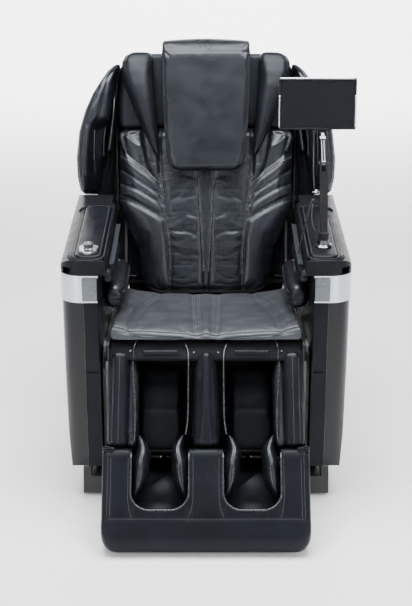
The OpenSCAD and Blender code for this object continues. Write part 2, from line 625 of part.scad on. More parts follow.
// ---------- leg rest ----------
slide_x = 120;
slide_by = 108;
calf_end = -295.5;
foot_top = -297;
module leg_frame() color(steel) in_leg() {
    both_sides() difference() {
        translate([273, 0, 0]) rotate([90, 0, 90]) linear_extrude(6)
            polygon(concat([for (a = [60:20:240]) [15 * cos(a), 15 * sin(a)]],
                [[40, -50], [94, -104], [120, -104], [120, -78], [64, -4]]));
        rod_x(8 + fit, 260, 290, 0, 0);
    }
    rod_x(10, -279, 279, slide_by, -90);
    both_sides() difference() {
        translate([slide_x, slide_by, -280]) cylinder(r = 14, h = 184);
        translate([slide_x, slide_by, -281]) cylinder(r = 11 + fit, h = 178);
    }
    bar([2 * slide_x - 26, 12, 20], [0, slide_by, -266]);
    translate([-86, 0, 0]) rotate([90, 0, 90]) linear_extrude(6) difference() {
        polygon([[98, -92], [114, -56], [126, -46], [140, -58], [124, -96], [108, -100]]);
        translate([128, -60]) circle(r = 6);
    }
}
module calf_housing() color(matt) in_leg() difference() {
    translate([-calf_half, 0, 0]) rotate([90, 0, 90]) linear_extrude(2 * calf_half)
        polygon(concat([[-14, calf_end], [92, calf_end], [92, -40], [70, -8]],
            [for (a = [0:10:180]) [27 * cos(a), 27 * sin(a)]], [[-26, -12], [-14, -30]]));
    translate([-262, 0, 0]) rotate([90, 0, 90]) linear_extrude(524)
        polygon([[-40, calf_end - 1], [86, calf_end - 1], [86, -42], [62, -24], [0, -32], [-40, -32]]);
}
module calf_airbags() color(leather) in_leg() {
    both_sides() {
        bar_pad(196, 261.4, -39, 85.4, -293, -43, 26, 20);
        bar_pad(64, 193, 60, 85.4, -293, -46, 11, 14);
    }
    bar_pad(-40, 40, -39, 85.4, -293, -43, 30, 20);
}
well_out = well_mid + well_w;
roll_at = [22, -well_end - 21];
module foot_housing() color(leather) in_leg() difference() {
    translate([-foot_half, 0, 0]) rotate([90, 0, 90]) linear_extrude(2 * foot_half)
        polygon([[-30, foot_top], [-39, foot_top - 12], [-39, -488], [-36, -520], [-28, -548], [-14, -568],
            [4, -576], [14, -573], [56, -541], [128, -488], [126, foot_top]]);
    both_sides() {
        translate([0, 94, 0]) rotate([90, 0, 0]) linear_extrude(150)
            polygon(rounded(well_mid, well_out, -well_end, foot_top + 70, 52, 9));
        rod_x(23, well_mid + 8, well_out - 8, roll_at[0], roll_at[1]);
    }
    rod_x(5 + fit, -214, 214, roll_at[0], roll_at[1]);
}
module foot_tubes() color(silver) in_leg() both_sides()
    translate([slide_x, slide_by, foot_top + 0.1]) cylinder(r = 11, h = 176);
// leaf-shaped pads on both side walls of each well
leaf = [[-416, 4, 10], [-408, 12, 26], [-390, 22, 40], [-364, 24, 46], [-336, 16, 34], [-320, 5, 12]];
module leaf_pad(x, side) loft([for (r = leaf)
    [for (a = [0:30:330]) [x + side * (r[1] * 0.5 + 0.5 * r[1] * cos(a * side)), 20 + r[2] * sin(a * side), r[0]]]]);
module foot_airbags() color(leather) in_leg() both_sides() {
    leaf_pad(well_mid + 0.3, 1);
    leaf_pad(well_out - 0.3, -1);
}
module foot_rollers() color(matt) in_leg() {
    rod_x(5, -213, 213, roll_at[0], roll_at[1]);
    both_sides() for (i = [0:2]) translate([74 + i * 36, roll_at[0], roll_at[1]]) rotate([0, 90, 0])
        rotate_extrude() polygon([[5, 0], [14, 0], [19, 4], [20, 13], [19, 22], [14, 26], [5, 26]]);
}

base_frame();
base_shoes();
rubber_feet();
power_inlet();
power_switch();
transport_wheels();
air_pump();
control_box();
carriage_frame();
pivot_shaft();
side_panel();  // side_panel_left
right_side() side_panel();  // side_panel_right
side_band();  // side_band_left
right_side() side_band();  // side_band_right
front_fascia();
armrest_rim();  // armrest_rim_left
right_side() armrest_rim();  // armrest_rim_right
armrest_pad();  // armrest_pad_left
right_side() armrest_pad();  // armrest_pad_right
arm_airbags();
control_bezel();
control_knob();
control_button();
mast_socket();
seat_frame();
seat_cushion();
recline_actuator();
recline_rod();
leg_actuator();
leg_rod();
back_frame();
guide_rails();
back_shell();
back_cushion();
head_cushion();
wing_left();
wing_right();
wing_airbags();
massage_carriage();
massage_arm();  // massage_arm_left
right_side() massage_arm();  // massage_arm_right
roller(arm_x, upper_at) massage_roller();  // roller_upper_left
roller(-arm_x, upper_at) massage_roller();  // roller_upper_right
roller(arm_x, lower_at) massage_roller();  // roller_lower_left
roller(-arm_x, lower_at) massage_roller();  // roller_lower_right
head_pillow();
leg_frame();
calf_housing();
calf_airbags();
foot_tubes();
foot_housing();
foot_airbags();
foot_rollers();
tablet_arm_lower();
tablet_arm_upper();
tablet();
tablet_screen();
cable_upper();
cable_loop();
cable_lower();
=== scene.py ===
# A reclining massage chair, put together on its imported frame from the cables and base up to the
# pillow, then down to the foot section. Metres, +Z up, the sitter faces -Y.
import bmesh
import bpy
import math
import numpy as np
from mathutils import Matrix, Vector
from mathutils.bvhtree import BVHTree


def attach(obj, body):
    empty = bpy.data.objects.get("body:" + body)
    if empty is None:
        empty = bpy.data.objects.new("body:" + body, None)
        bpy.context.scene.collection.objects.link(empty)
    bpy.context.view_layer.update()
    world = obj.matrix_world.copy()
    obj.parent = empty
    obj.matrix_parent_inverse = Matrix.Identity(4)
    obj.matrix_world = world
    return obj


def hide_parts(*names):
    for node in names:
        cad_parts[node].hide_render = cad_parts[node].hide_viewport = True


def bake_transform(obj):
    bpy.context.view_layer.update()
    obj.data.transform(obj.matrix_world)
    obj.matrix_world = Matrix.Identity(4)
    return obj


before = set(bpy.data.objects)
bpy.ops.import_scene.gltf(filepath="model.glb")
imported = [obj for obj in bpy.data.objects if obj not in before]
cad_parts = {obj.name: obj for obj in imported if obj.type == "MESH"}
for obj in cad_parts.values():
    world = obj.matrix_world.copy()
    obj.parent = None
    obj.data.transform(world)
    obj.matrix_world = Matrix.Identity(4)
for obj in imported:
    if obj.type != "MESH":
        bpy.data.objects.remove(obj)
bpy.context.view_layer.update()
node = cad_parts
scene = bpy.context.scene

# ---------- camera ----------
# One long-lens camera in front of the chair, a little above the head of the backrest,
# looking down at it.
camera = bpy.data.objects.new("camera", bpy.data.cameras.new("camera"))
scene.collection.objects.link(camera)
camera.location = (0, -3.4846, 1.6618)
camera.rotation_euler = (math.radians(71.848), 0, 0)
camera.data.lens = 72.106
camera.data.sensor_width = 36
scene.camera = camera

# ---------- tablet lead ----------
# A thin round black lead in three lengths: tablet to clip, a slack loop on the mast, and the
# run down into the arm rim. Rubber jacket, steel clip on the mast, moulded plug and grommet.
lead_r = 0.002


def solid(name, points, faces, *finishes, smooth=True):
    mesh = bpy.data.meshes.new(name)
    mesh.from_pydata([tuple(p) for p in points], [], [tuple(f) for f in faces])
    mesh.update()
    for f in finishes:
        mesh.materials.append(f)
    if smooth:
        mesh.shade_smooth()
    piece = bpy.data.objects.new(name, mesh)
    scene.collection.objects.link(piece)
    return piece


def laced(first, n, back):
    """Closes a ring with a strip of four-sided faces, laced from one side of it to the other."""
    strip = [[first + j, first + j + 1, first + n - 2 - j, first + n - 1 - j] for j in range((n - 1) // 2)]
    strip = [f if f[1] != f[2] else [f[0], f[1], f[3]] for f in strip]
    return [tuple(reversed(f)) if back else tuple(f) for f in strip]


def ring_faces(m, n, first=0, cap0=True, cap1=True):
    faces = [(first + i * n + j, first + i * n + (j + 1) % n,
              first + (i + 1) * n + (j + 1) % n, first + (i + 1) * n + j)
             for i in range(m - 1) for j in range(n)]
    if cap0:
        faces += laced(first, n, True)
    if cap1:
        faces += laced(first + (m - 1) * n, n, False)
    return faces


def round_bar(path, radius, sides=10, first=0):
    path = np.asarray(path, float)
    step = np.gradient(path, axis=0)
    step /= np.linalg.norm(step, axis=1)[:, None]
    a = np.cross(step[0], (0.13, 0.41, 0.9))
    points = []
    radius = np.broadcast_to(radius, len(path))
    for p, d, r in zip(path, step, radius):
        a = a - d * (a @ d)
        a /= np.linalg.norm(a)
        b = np.cross(d, a)
        points += [p + r * (a * math.cos(t) + b * math.sin(t))
                   for t in np.arange(sides) * 2 * math.pi / sides]
    return points, ring_faces(len(path), sides, first)


def bars(name, paths, finish, sides=8):
    points, faces = [], []
    for path, radius in paths:
        p, f = round_bar(path, radius, sides, len(points))
        points += p
        faces += f
    return solid(name, points, faces, finish)


def curve_through(stops, per=6, scale=0.001):
    p = np.asarray(stops, float) * scale
    p = np.vstack([p[0], p, p[-1]])
    line = [p[i] + (p[i + 1] - p[i - 1]) * t / 2
            + (2 * p[i - 1] - 5 * p[i] + 4 * p[i + 1] - p[i + 2]) * t * t / 2
            + (3 * p[i] - p[i - 1] - 3 * p[i + 1] + p[i + 2]) * t ** 3 / 2
            for i in range(1, len(p) - 2) for t in np.arange(per) / per]
    return np.array(line + [p[-2]])


class Finish:
    """A node-built material: colour, shine, and a chain of bumps on object coordinates."""

    def __init__(self, name, colour, rough, metal=0.0, **fixed):
        self.m = bpy.data.materials.new(name)
        self.m.use_nodes = True
        self.t = self.m.node_tree
        self.b = self.t.nodes["Principled BSDF"]
        self.b.inputs["Base Color"].default_value = (*colour, 1)
        self.b.inputs["Roughness"].default_value = rough
        self.b.inputs["Metallic"].default_value = metal
        for key, value in fixed.items():
            self.b.inputs[key.replace("_", " ")].default_value = value
        self.colour, self.rough, self.normal = colour, rough, None
        self.at = self.t.nodes.new("ShaderNodeTexCoord").outputs["Object"]

    def add(self, kind, **set_to):
        n = self.t.nodes.new(kind)
        for key, value in set_to.items():
            if key in n.inputs:
                n.inputs[key].default_value = value
            else:
                setattr(n, key, value)
        return n

    def placed(self, stretch=(1, 1, 1), turn=(0, 0, 0)):
        n = self.add("ShaderNodeMapping")
        n.inputs["Scale"].default_value = stretch
        n.inputs["Rotation"].default_value = turn
        self.t.links.new(self.at, n.inputs["Vector"])
        return n.outputs["Vector"]

    def cloud(self, scale, detail=3.0, stretch=(1, 1, 1), turn=(0, 0, 0), Roughness=0.5):
        n = self.add("ShaderNodeTexNoise", Scale=scale, Detail=detail, Roughness=Roughness)
        self.t.links.new(self.placed(stretch, turn), n.inputs["Vector"])
        return n.outputs["Fac"]

    def cells(self, scale, feature="F1", stretch=(1, 1, 1)):
        n = self.add("ShaderNodeTexVoronoi", feature=feature, Scale=scale)
        self.t.links.new(self.placed(stretch), n.inputs["Vector"])
        return n.outputs["Distance"]

    def ramp(self, source, low, high, out_low, out_high):
        n = self.add("ShaderNodeMapRange")
        for key, value in (("From Min", low), ("From Max", high), ("To Min", out_low), ("To Max", out_high)):
            n.inputs[key].default_value = value
        self.t.links.new(source, n.inputs["Value"])
        return n.outputs["Result"]

    def shine(self, source, low, high, spread):
        self.t.links.new(self.ramp(source, low, high, self.rough - spread, self.rough + spread),
                         self.b.inputs["Roughness"])
        return self

    def tint(self, source, low, high, other):
        n = self.add("ShaderNodeMix", data_type="RGBA")
        n.inputs[6].default_value = (*self.colour, 1)
        n.inputs[7].default_value = (*other, 1)
        self.t.links.new(self.ramp(source, low, high, 0, 1), n.inputs[0])
        old = self.b.inputs["Base Color"]
        if old.is_linked:
            self.t.links.new(old.links[0].from_socket, n.inputs[6])
        self.t.links.new(n.outputs[2], old)
        return self

    def bump(self, source, height, strength=1.0):
        n = self.add("ShaderNodeBump", Strength=strength, Distance=height)
        self.t.links.new(source, n.inputs["Height"])
        if self.normal:
            self.t.links.new(self.normal, n.inputs["Normal"])
        self.normal = n.outputs["Normal"]
        self.t.links.new(self.normal, self.b.inputs["Normal"])
        return self


jacket = Finish("lead jacket", (0.012, 0.012, 0.013), 0.42)
jacket.shine(jacket.cloud(160), 0.3, 0.7, 0.08).bump(jacket.cloud(900, 2), 0.0002, 0.4)
clip_steel = Finish("clip steel", (0.42, 0.43, 0.46), 0.24, 1.0)
clip_steel.shine(clip_steel.cloud(220), 0.3, 0.7, 0.07)
clip_steel.bump(clip_steel.cloud(700, 2, (1, 1, 0.1)), 0.0001, 0.5)

tablet_run = [(309, -21, 1056), (309, -24, 1040), (308, -40, 1012), (307, -62, 974), (306, -84, 936),
              (307, -97, 910), (308, -104, 893)]
slack_run = [(306, -114, 868), (302, -124, 846), (300, -138, 820), (303, -150, 798), (310, -155, 786)]
rim_run = [(303, -106, 866), (297, -104, 846), (290, -102, 810), (281, -101, 770), (272, -102, 730),
           (268, -103, 712), (269, -104, 703), (273, -104, 699), (277.6, -104, 698)]


def lead(name, run, stands_for):
    path = curve_through(run, 5)
    piece = bars(name, [(path, lead_r)], jacket.m, 12)
    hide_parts(stands_for)
    length = float(np.linalg.norm(np.diff(path, axis=0), axis=1).sum())
    return piece, path, length


tablet_lead, path, length = lead("tablet_lead", tablet_run, "cable_upper")
clip_band = bars("lead_clip", [
    ([(.3135, -.1085, .8805), (.3135, -.1085, .8935)], .0045),
    ([(.302, -.1075, .8865), (.3125, -.1112, .8865), (.3225, -.1135, .8865)], .0032)], clip_steel.m, 14)
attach(clip_band, "lower_arm")
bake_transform(tablet_lead)
lead_plug = bars("lead_plug", [([(.309, -.0207, 1.064), (.309, -.021, 1.0595),
                                 (.309, -.0215, 1.048), (.309, -.0222, 1.041)],
                                [.0052, .0056, .0048, .0028])], jacket.m, 14)
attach(lead_plug, "screen")

slack_loop, path, length = lead("slack_loop", slack_run, "cable_loop")
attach(slack_loop, "lower_arm")

rim_lead, path, length = lead("rim_lead", rim_run, "cable_lower")
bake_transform(rim_lead)

# ---------- floor and light ----------
# A round white studio: the floor turns up into the wall in one wide curve. A large soft light
# hangs over the chair, two tall ones stand in front for the upright glints, one lights the wall.
paper = Finish("paper sweep", (0.95, 0.955, 0.96), 0.8)
paper.shine(paper.cloud(3), 0.3, 0.7, 0.05).bump(paper.cloud(40), 0.0005, 0.1)
rise = np.radians(range(0, 91, 6))
bend = [(0.5, 0.0), (4.0, 0.0)] + [(8.0 + 3.0 * math.sin(t), 3.0 - 3.0 * math.cos(t)) for t in rise]
bend += [(11.0, 9.0)]
around = np.radians(np.arange(0, 360, 6))
floor = solid("floor", [(r * math.cos(a), r * math.sin(a), z) for r, z in bend for a in around],
              [tuple(reversed(f)) for f in ring_faces(len(bend), len(around), cap1=False)], paper.m)

scene.world = bpy.data.worlds.new("studio")
scene.world.use_nodes = True
sky = scene.world.node_tree.nodes["Background"]
sky.inputs["Color"].default_value = (0.86, 0.92, 1.0, 1)
sky.inputs["Strength"].default_value = 0.2


def panel_light(name, at, towards, size, power, tone=(1, 1, 1)):
    lamp = bpy.data.objects.new(name, bpy.data.lights.new(name, "AREA"))
    scene.collection.objects.link(lamp)
    lamp.data.shape = "RECTANGLE"
    lamp.data.size, lamp.data.size_y = size
    lamp.data.energy = power
    lamp.data.color = tone
    lamp.location = at
    lamp.rotation_euler = (Vector(towards) - Vector(at)).to_track_quat("-Z", "Y").to_euler()


panel_light("top_light", (0, -0.3, 3.0), (0, 0, 0.4), (2.6, 1.8), 250)
panel_light("left_light", (-1.7, -2.6, 1.2), (-0.2, -0.1, 0.6), (0.5, 2.2), 34)
panel_light("right_light", (1.7, -2.6, 1.2), (0.2, -0.1, 0.6), (0.5, 2.2), 34)
panel_light("wall_light", (0, 6.6, 5.6), (0, 11.0, 1.2), (9.0, 1.6), 2000)

# ---------- base ----------
# Welded steel rails and cross members in black powder coat, standing on rubber feet. Moulded
# skirts close the rail ends; the transport wheels, inlet and switch sit at the rear.
powder_coat = Finish("powder coat", (0.022, 0.023, 0.025), 0.5)
powder_coat.shine(powder_coat.cloud(30), 0.3, 0.7, 0.1).bump(powder_coat.cloud(1500, 2), 0.0003, 0.35)
powder_coat.tint(powder_coat.cloud(9, 4), 0.45, 0.8, (0.05, 0.05, 0.055))
shoe_plastic = Finish("moulded skirt", (0.010, 0.010, 0.011), 0.45)
shoe_plastic.shine(shoe_plastic.cloud(18), 0.3, 0.7, 0.07).bump(shoe_plastic.cells(1400), 0.0002, 0.5)
foot_rubber = Finish("foot rubber", (0.015, 0.015, 0.015), 0.8)
foot_rubber.shine(foot_rubber.cloud(40), 0.3, 0.7, 0.08).bump(foot_rubber.cloud(800, 2), 0.0004, 0.6)
zinc = Finish("zinc sheet", (0.5, 0.52, 0.55), 0.4, 0.9)
zinc.shine(zinc.cells(60), 0.1, 0.7, 0.1).tint(zinc.cells(45), 0.2, 0.6, (0.36, 0.38, 0.41))
zinc.bump(zinc.cloud(300), 0.0002, 0.3)
tyre = Finish("wheel tyre", (0.03, 0.03, 0.032), 0.62)
tyre.shine(tyre.cloud(60), 0.3, 0.7, 0.1).bump(tyre.cloud(1200, 2), 0.0003, 0.5)
rocker = Finish("rocker switch", (0.02, 0.02, 0.021), 0.3)
rocker.shine(rocker.cloud(100), 0.3, 0.7, 0.06).bump(rocker.cloud(1600, 2), 0.0001, 0.4)


def dress(finish, *names):
    for n in names:
        for s in node[n].material_slots:
            s.material = finish.m


dress(powder_coat, "base_frame")
dress(shoe_plastic, "base_shoes", "power_inlet")
dress(foot_rubber, "rubber_feet")
dress(tyre, "transport_wheels")
dress(rocker, "power_switch")
dress(zinc, "control_box", "air_pump")

# ---------- carriage and actuators ----------
# Steel side plates that slide on the rails with the seat frame and its shaft between them, and
# two screw actuators with bright rods: one tips the back, the other lifts the leg rest.
ground_rod = Finish("ground rod", (0.7, 0.71, 0.73), 0.18, 1.0)
ground_rod.shine(ground_rod.cloud(90), 0.3, 0.7, 0.06)
ground_rod.bump(ground_rod.cloud(1300, 2, (1, 0.05, 1)), 0.00008, 0.6)
motor_black = Finish("motor housing", (0.02, 0.02, 0.022), 0.38)
motor_black.shine(motor_black.cloud(50), 0.3, 0.7, 0.08).bump(motor_black.cells(900), 0.0002, 0.4)
dress(powder_coat, "carriage_frame", "seat_frame", "back_frame", "leg_frame")
dress(ground_rod, "pivot_shaft", "recline_rod", "leg_rod", "foot_tubes", "guide_rails")
dress(motor_black, "recline_actuator", "leg_actuator", "massage_carriage")

# ---------- arm pods ----------
# Two hollow pods of piano-black moulding on the carriage. A silver lacquered band wraps each
# one, a satin strip closes its inner front edge, and a rolled rim on top holds the arm pad.
piano = Finish("piano black", (0.003, 0.003, 0.004), 0.16,
               Specular_IOR_Level=0.1, Coat_Weight=0.38, Coat_Roughness=0.05)
piano.shine(piano.cloud(14, 4), 0.35, 0.75, 0.035).bump(piano.cloud(7, 1), 0.0006, 0.25)
piano.tint(piano.cloud(700, 2, (1, 1, 0.2)), 0.66, 0.8, (0.012, 0.012, 0.014))
lacquer = Finish("silver lacquer", (0.62, 0.65, 0.69), 0.22, 0.85, Coat_Weight=0.7, Coat_Roughness=0.06)
lacquer.shine(lacquer.cloud(60), 0.3, 0.7, 0.05).bump(lacquer.cells(2600), 0.00008, 0.6)
lacquer.tint(lacquer.cloud(5, 2), 0.4, 0.8, (0.55, 0.59, 0.65))
# Grey metal for the knee snaps, and as a darker copy of the band's silver on its front plate: that use is
# painted shade.
snap_grey_and_band_shade = Finish("snap grey and band shade", (0.14, 0.155, 0.165), 0.3, 0.8)
snap_grey_and_band_shade.shine(snap_grey_and_band_shade.cloud(90), 0.3, 0.7, 0.06)
snap_grey_and_band_shade.bump(snap_grey_and_band_shade.cloud(900, 2, (1, 1, 0.04)), 0.0001, 0.7)
satin = Finish("satin strip", (0.006, 0.008, 0.011), 0.36, Specular_IOR_Level=0.12)
satin.shine(satin.cloud(25), 0.3, 0.7, 0.05).bump(satin.cells(1800), 0.0001, 0.4)
rim_black = Finish("rim black", (0.006, 0.0065, 0.008), 0.40, Specular_IOR_Level=0.12)
rim_black.shine(rim_black.cloud(30), 0.3, 0.7, 0.06).bump(rim_black.cells(1500), 0.0001, 0.4)
dress(piano, "side_panel_left", "side_panel_right")
dress(rim_black, "armrest_rim_left", "armrest_rim_right")
dress(lacquer, "side_band_left", "side_band_right")
dress(satin, "front_fascia")


class Place:
    """Local millimetres (x, y, z), turned round X by `tilt` degrees and moved, to metres and back."""

    def __init__(self, origin, tilt):
        c, s = math.cos(math.radians(tilt)), math.sin(math.radians(tilt))
        self.turn = np.array([[1, 0, 0], [0, c, -s], [0, s, c]])
        self.at = np.array(origin, float)

    def __call__(self, p):
        return (np.asarray(p, float) @ self.turn.T + self.at) * 0.001

    def local(self, q):
        return (np.asarray(q, float) * 1000 - self.at) @ self.turn

    def way(self, n):
        return np.asarray(n, float) @ self.turn


arm_tilt = math.degrees(math.atan(0.124))
on_arm = Place((0, -270, 727), arm_tilt)
flat = Place((0, 0, 0), 0)


def round_corners(u0, u1, v0, v1, r, k=6):
    out = []
    for cu, cv, a in ((u1 - r, v0 + r, -90), (u1 - r, v1 - r, 0),
                     (u0 + r, v1 - r, 90), (u0 + r, v0 + r, 180)):
        out += [(cu + r * math.cos(math.radians(a + 90 * i / (k - 1))),
                 cv + r * math.sin(math.radians(a + 90 * i / (k - 1)))) for i in range(k)]
    return np.array(out)


def both(make):
    """The same piece for the +X side and mirrored for the -X side."""
    for side, suffix in ((1, "left"), (-1, "right")):
        make(side, suffix)


def flip(points, side):
    p = np.array(points, float)
    p[:, 0] *= side
    return p


def outward(piece):
    work = bmesh.new()
    work.from_mesh(piece.data)
    bmesh.ops.recalc_face_normals(work, faces=work.faces)
    work.to_mesh(piece.data)
    work.free()
    return piece


# A grey plate over the flat front of the silver band: painted shade for the front face, which reads grey
# beside the lit curve.
def band_shade_plate(side, suffix):
    ring = round_corners(302, 345, 613, 681, 3, 4)
    rings = [(0.0, -270.5), (0.0, -272.6), (1.4, -273.4)]
    points = np.vstack([np.column_stack([
        ring[:, 0] + d * np.sign(323.5 - ring[:, 0]), np.full(len(ring), y),
        ring[:, 1] + d * np.sign(647 - ring[:, 1])]) for d, y in rings])
    plate = solid("band_shade_plate_" + suffix, flip(flat(points), side),
                  ring_faces(3, len(ring)), snap_grey_and_band_shade.m, smooth=False)
    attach(outward(plate), "carriage")


both(band_shade_plate)


# two moulded lips that step down from the rolled shoulder to the arm pad
def rim_lips(side, suffix):
    paths = []
    for grow, z, r in ((8, 0.6, 3.2), (17, -0.6, 3.6)):
        ring = round_corners(290 - min(grow, 6), 368 + grow, 22 - grow, 440, 24 + grow, 8)
        ring = np.roll(ring, -8, axis=0)[::-1]
        ring = ring[(ring[:, 1] < 425) | (ring[:, 0] > 368)]
        line = curve_through(np.column_stack([ring, np.full(len(ring), z)]), 3, 1.0)
        paths.append((flip(on_arm(line), side), r * 0.001))
    lips = bars("rim_lips_" + suffix, paths, satin.m, 8)
    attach(lips, "carriage")


both(rim_lips)

# ---------- arm pads ----------
# Foam pads under black coated leather: one let into each arm top, and two rolls of airbag on
# each pod's inner wall, sewn along a piped seam and strapped at the top edge.
hide_tone = (0.0045, 0.005, 0.007)


def leather(name, creases=0.5, stretch=(1, 1, 1), tone=hide_tone, rough=0.34, gloss=0.42):
    """Coated leather: pebbled grain, slow swell of the foam, crease lines and rubbed patches."""
    f = Finish(name, tone, rough, Specular_IOR_Level=gloss)
    f.b.inputs["Specular Tint"].default_value = (0.84, 0.91, 1.0, 1)
    f.shine(f.cloud(22, 5), 0.3, 0.7, 0.07)
    f.tint(f.cloud(9, 4), 0.45, 0.75, tuple(1.5 * c for c in tone))
    f.bump(f.cells(520), 0.00035, 0.35)
    f.bump(f.cloud(1500, 2), 0.0002, 0.3)
    f.bump(f.cloud(26, 4, stretch, Roughness=0.6), 0.0016, creases)
    f.bump(f.cloud(5, 2), 0.006, 0.25)
    return f


# Near-black, low-gloss copy of the leather for pieces sunk in hollows and gaps: its dark tone is painted
# shade.
painted_shade_hide = leather("painted shade leather", 0.4, (1, 2, 1), (0.0018, 0.002, 0.0026), 0.5, 0.08)
welt_hide = Finish("welt leather", (0.02, 0.021, 0.026), 0.28, Specular_IOR_Level=0.7)
welt_hide.shine(welt_hide.cloud(120), 0.3, 0.7, 0.06).bump(welt_hide.cells(900), 0.0002, 0.4)
thread = Finish("dark thread", (0.10, 0.10, 0.115), 0.55, Sheen_Weight=0.3)
thread.shine(thread.cloud(300), 0.3, 0.7, 0.1).bump(thread.cloud(2500, 2, (1, 1, 3)), 0.0002, 0.8)


def skin(name, rings, finish, place=flat, side=1, tuck=(0.55, 0.2)):
    """A closed padded skin over equal rings, gathered in and laced shut at each end."""
    rings = [np.asarray(r, float) for r in rings]
    first = [rings[0].mean(0) + (rings[0] - rings[0].mean(0)) * k for k in reversed(tuck)]
    last = [rings[-1].mean(0) + (rings[-1] - rings[-1].mean(0)) * k for k in tuck]
    rings = first + rings + last
    m, n = len(rings), len(rings[0])
    piece = solid(name, flip(place(np.vstack(rings)), side), ring_faces(m, n), finish)
    return outward(piece)


def corners_of(piece):
    co = np.empty(len(piece.data.vertices) * 3)
    piece.data.vertices.foreach_get("co", co)
    return co.reshape(-1, 3)


def normals_of(piece):
    n = np.empty(len(piece.data.vertices) * 3)
    piece.data.vertex_normals.foreach_get("vector", n)
    return n.reshape(-1, 3)


def set_corners(piece, co):
    piece.data.vertices.foreach_set("co", np.ascontiguousarray(co, float).ravel())
    piece.data.update()


def swell(piece, most, held=None, pressure=4.0, give=0.0, frames=20):
    """Fills the sewn skin: cloth under pressure, held at its seams, moved by at most `most`."""
    start = corners_of(piece)
    if held is not None:
        group = piece.vertex_groups.new(name="sewn")
        for i, w in enumerate(held):
            if w > 0.02:
                group.add([i], float(min(w, 1)), "REPLACE")
    cloth = piece.modifiers.new("fill", "CLOTH")
    s = cloth.settings
    s.quality, s.mass = 5, 0.3
    s.use_pressure, s.uniform_pressure_force = True, pressure
    s.shrink_min = -give
    s.effector_weights.gravity = 0
    if held is not None:
        s.vertex_group_mass = "sewn"
    cloth.point_cache.frame_start, cloth.point_cache.frame_end = 1, frames
    for f in range(1, frames + 1):
        scene.frame_set(f)
    full = piece.evaluated_get(bpy.context.evaluated_depsgraph_get()).to_mesh()
    co = np.empty(len(full.vertices) * 3)
    full.vertices.foreach_get("co", co)
    piece.modifiers.remove(cloth)
    if held is not None:
        piece.vertex_groups.clear()
    scene.frame_set(1)
    move = co.reshape(-1, 3) - start
    far = np.linalg.norm(move, axis=1)[:, None]
    set_corners(piece, start + move * np.minimum(1, most / np.maximum(far, 1e-9)))


def finer(piece, levels=1):
    mod = piece.modifiers.new("finer", "SUBSURF")
    mod.levels = mod.render_levels = levels
    bench = bpy.data.scenes.new("bench")
    bench.collection.objects.link(piece)
    layer = bench.view_layers[0]
    layer.update()
    mesh = bpy.data.meshes.new_from_object(piece.evaluated_get(layer.depsgraph))
    piece.modifiers.remove(mod)
    piece.data = mesh
    bpy.data.scenes.remove(bench)
    return piece


def near(u, v, line):
    """Distance from each (u, v) to a broken line, and how far along it the nearest place is."""
    best, along, run = np.full(len(u), 1e9), np.zeros(len(u)), 0.0
    line = np.asarray(line, float)
    for a, b in zip(line[:-1], line[1:]):
        d = b - a
        size = float(np.hypot(*d))
        t = np.clip(((u - a[0]) * d[0] + (v - a[1]) * d[1]) / size ** 2, 0, 1)
        r = np.hypot(u - a[0] - t * d[0], v - a[1] - t * d[1])
        along = np.where(r < best, run + t * size, along)
        best = np.minimum(best, r)
        run += size
    return best, along


def rough_land(u, v, scale_u, scale_v, seed=0.0):
    """Smooth random land over (u, v), from -1 to 1, the same on every run."""
    out = np.zeros(len(u))
    for octave, share in ((1.0, 0.65), (2.1, 0.35)):
        a, b = u / scale_u * octave + seed * 3.7, v / scale_v * octave - seed * 1.9
        i, j = np.floor(a), np.floor(b)
        fa, fb = a - i, b - j
        fa, fb = fa * fa * (3 - 2 * fa), fb * fb * (3 - 2 * fb)
        corner = [np.mod(np.sin((i + di) * 127.1 + (j + dj) * 311.7 + seed * 17.3) * 43758.5453, 1.0)
                  for di, dj in ((0, 0), (1, 0), (0, 1), (1, 1))]
        low, high = corner[0] + (corner[1] - corner[0]) * fa, corner[2] + (corner[3] - corner[2]) * fa
        out += share * (2 * (low + (high - low) * fb) - 1)
    return out


skins = {}


def lay(run, place, above, cover, lift=0.0, toward=(0, 1, 0), scale=4.0):
    """Drops the local points onto the skin of `cover` from `above`, for welts and stitches."""
    if cover.name not in skins:
        skins[cover.name] = BVHTree.FromObject(cover, bpy.context.evaluated_depsgraph_get())
    run = np.asarray(run, float)
    dense = []
    for a, b in zip(run[:-1], run[1:]):
        k = max(2, int(np.linalg.norm(b - a) / scale))
        dense += [a + (b - a) * t / k for t in range(k)]
    dense.append(run[-1])
    way = Vector(place.turn @ np.array(toward, float)).normalized()
    out = []
    for p in dense:
        start = Vector(place(np.array([p]))[0]) - way * above * 0.001
        hit = skins[cover.name].ray_cast(start, way, 0.6)
        if hit[0] is not None:
            out.append(np.array(hit[0] + hit[1] * lift * 0.001 * (1 if hit[1].dot(way) < 0 else -1)))
    out = np.array(out)
    if len(out) > 4:
        smooth = out.copy()
        smooth[1:-1] = (out[:-2] + 2 * out[1:-1] + out[2:]) / 4
        out = smooth
    return out


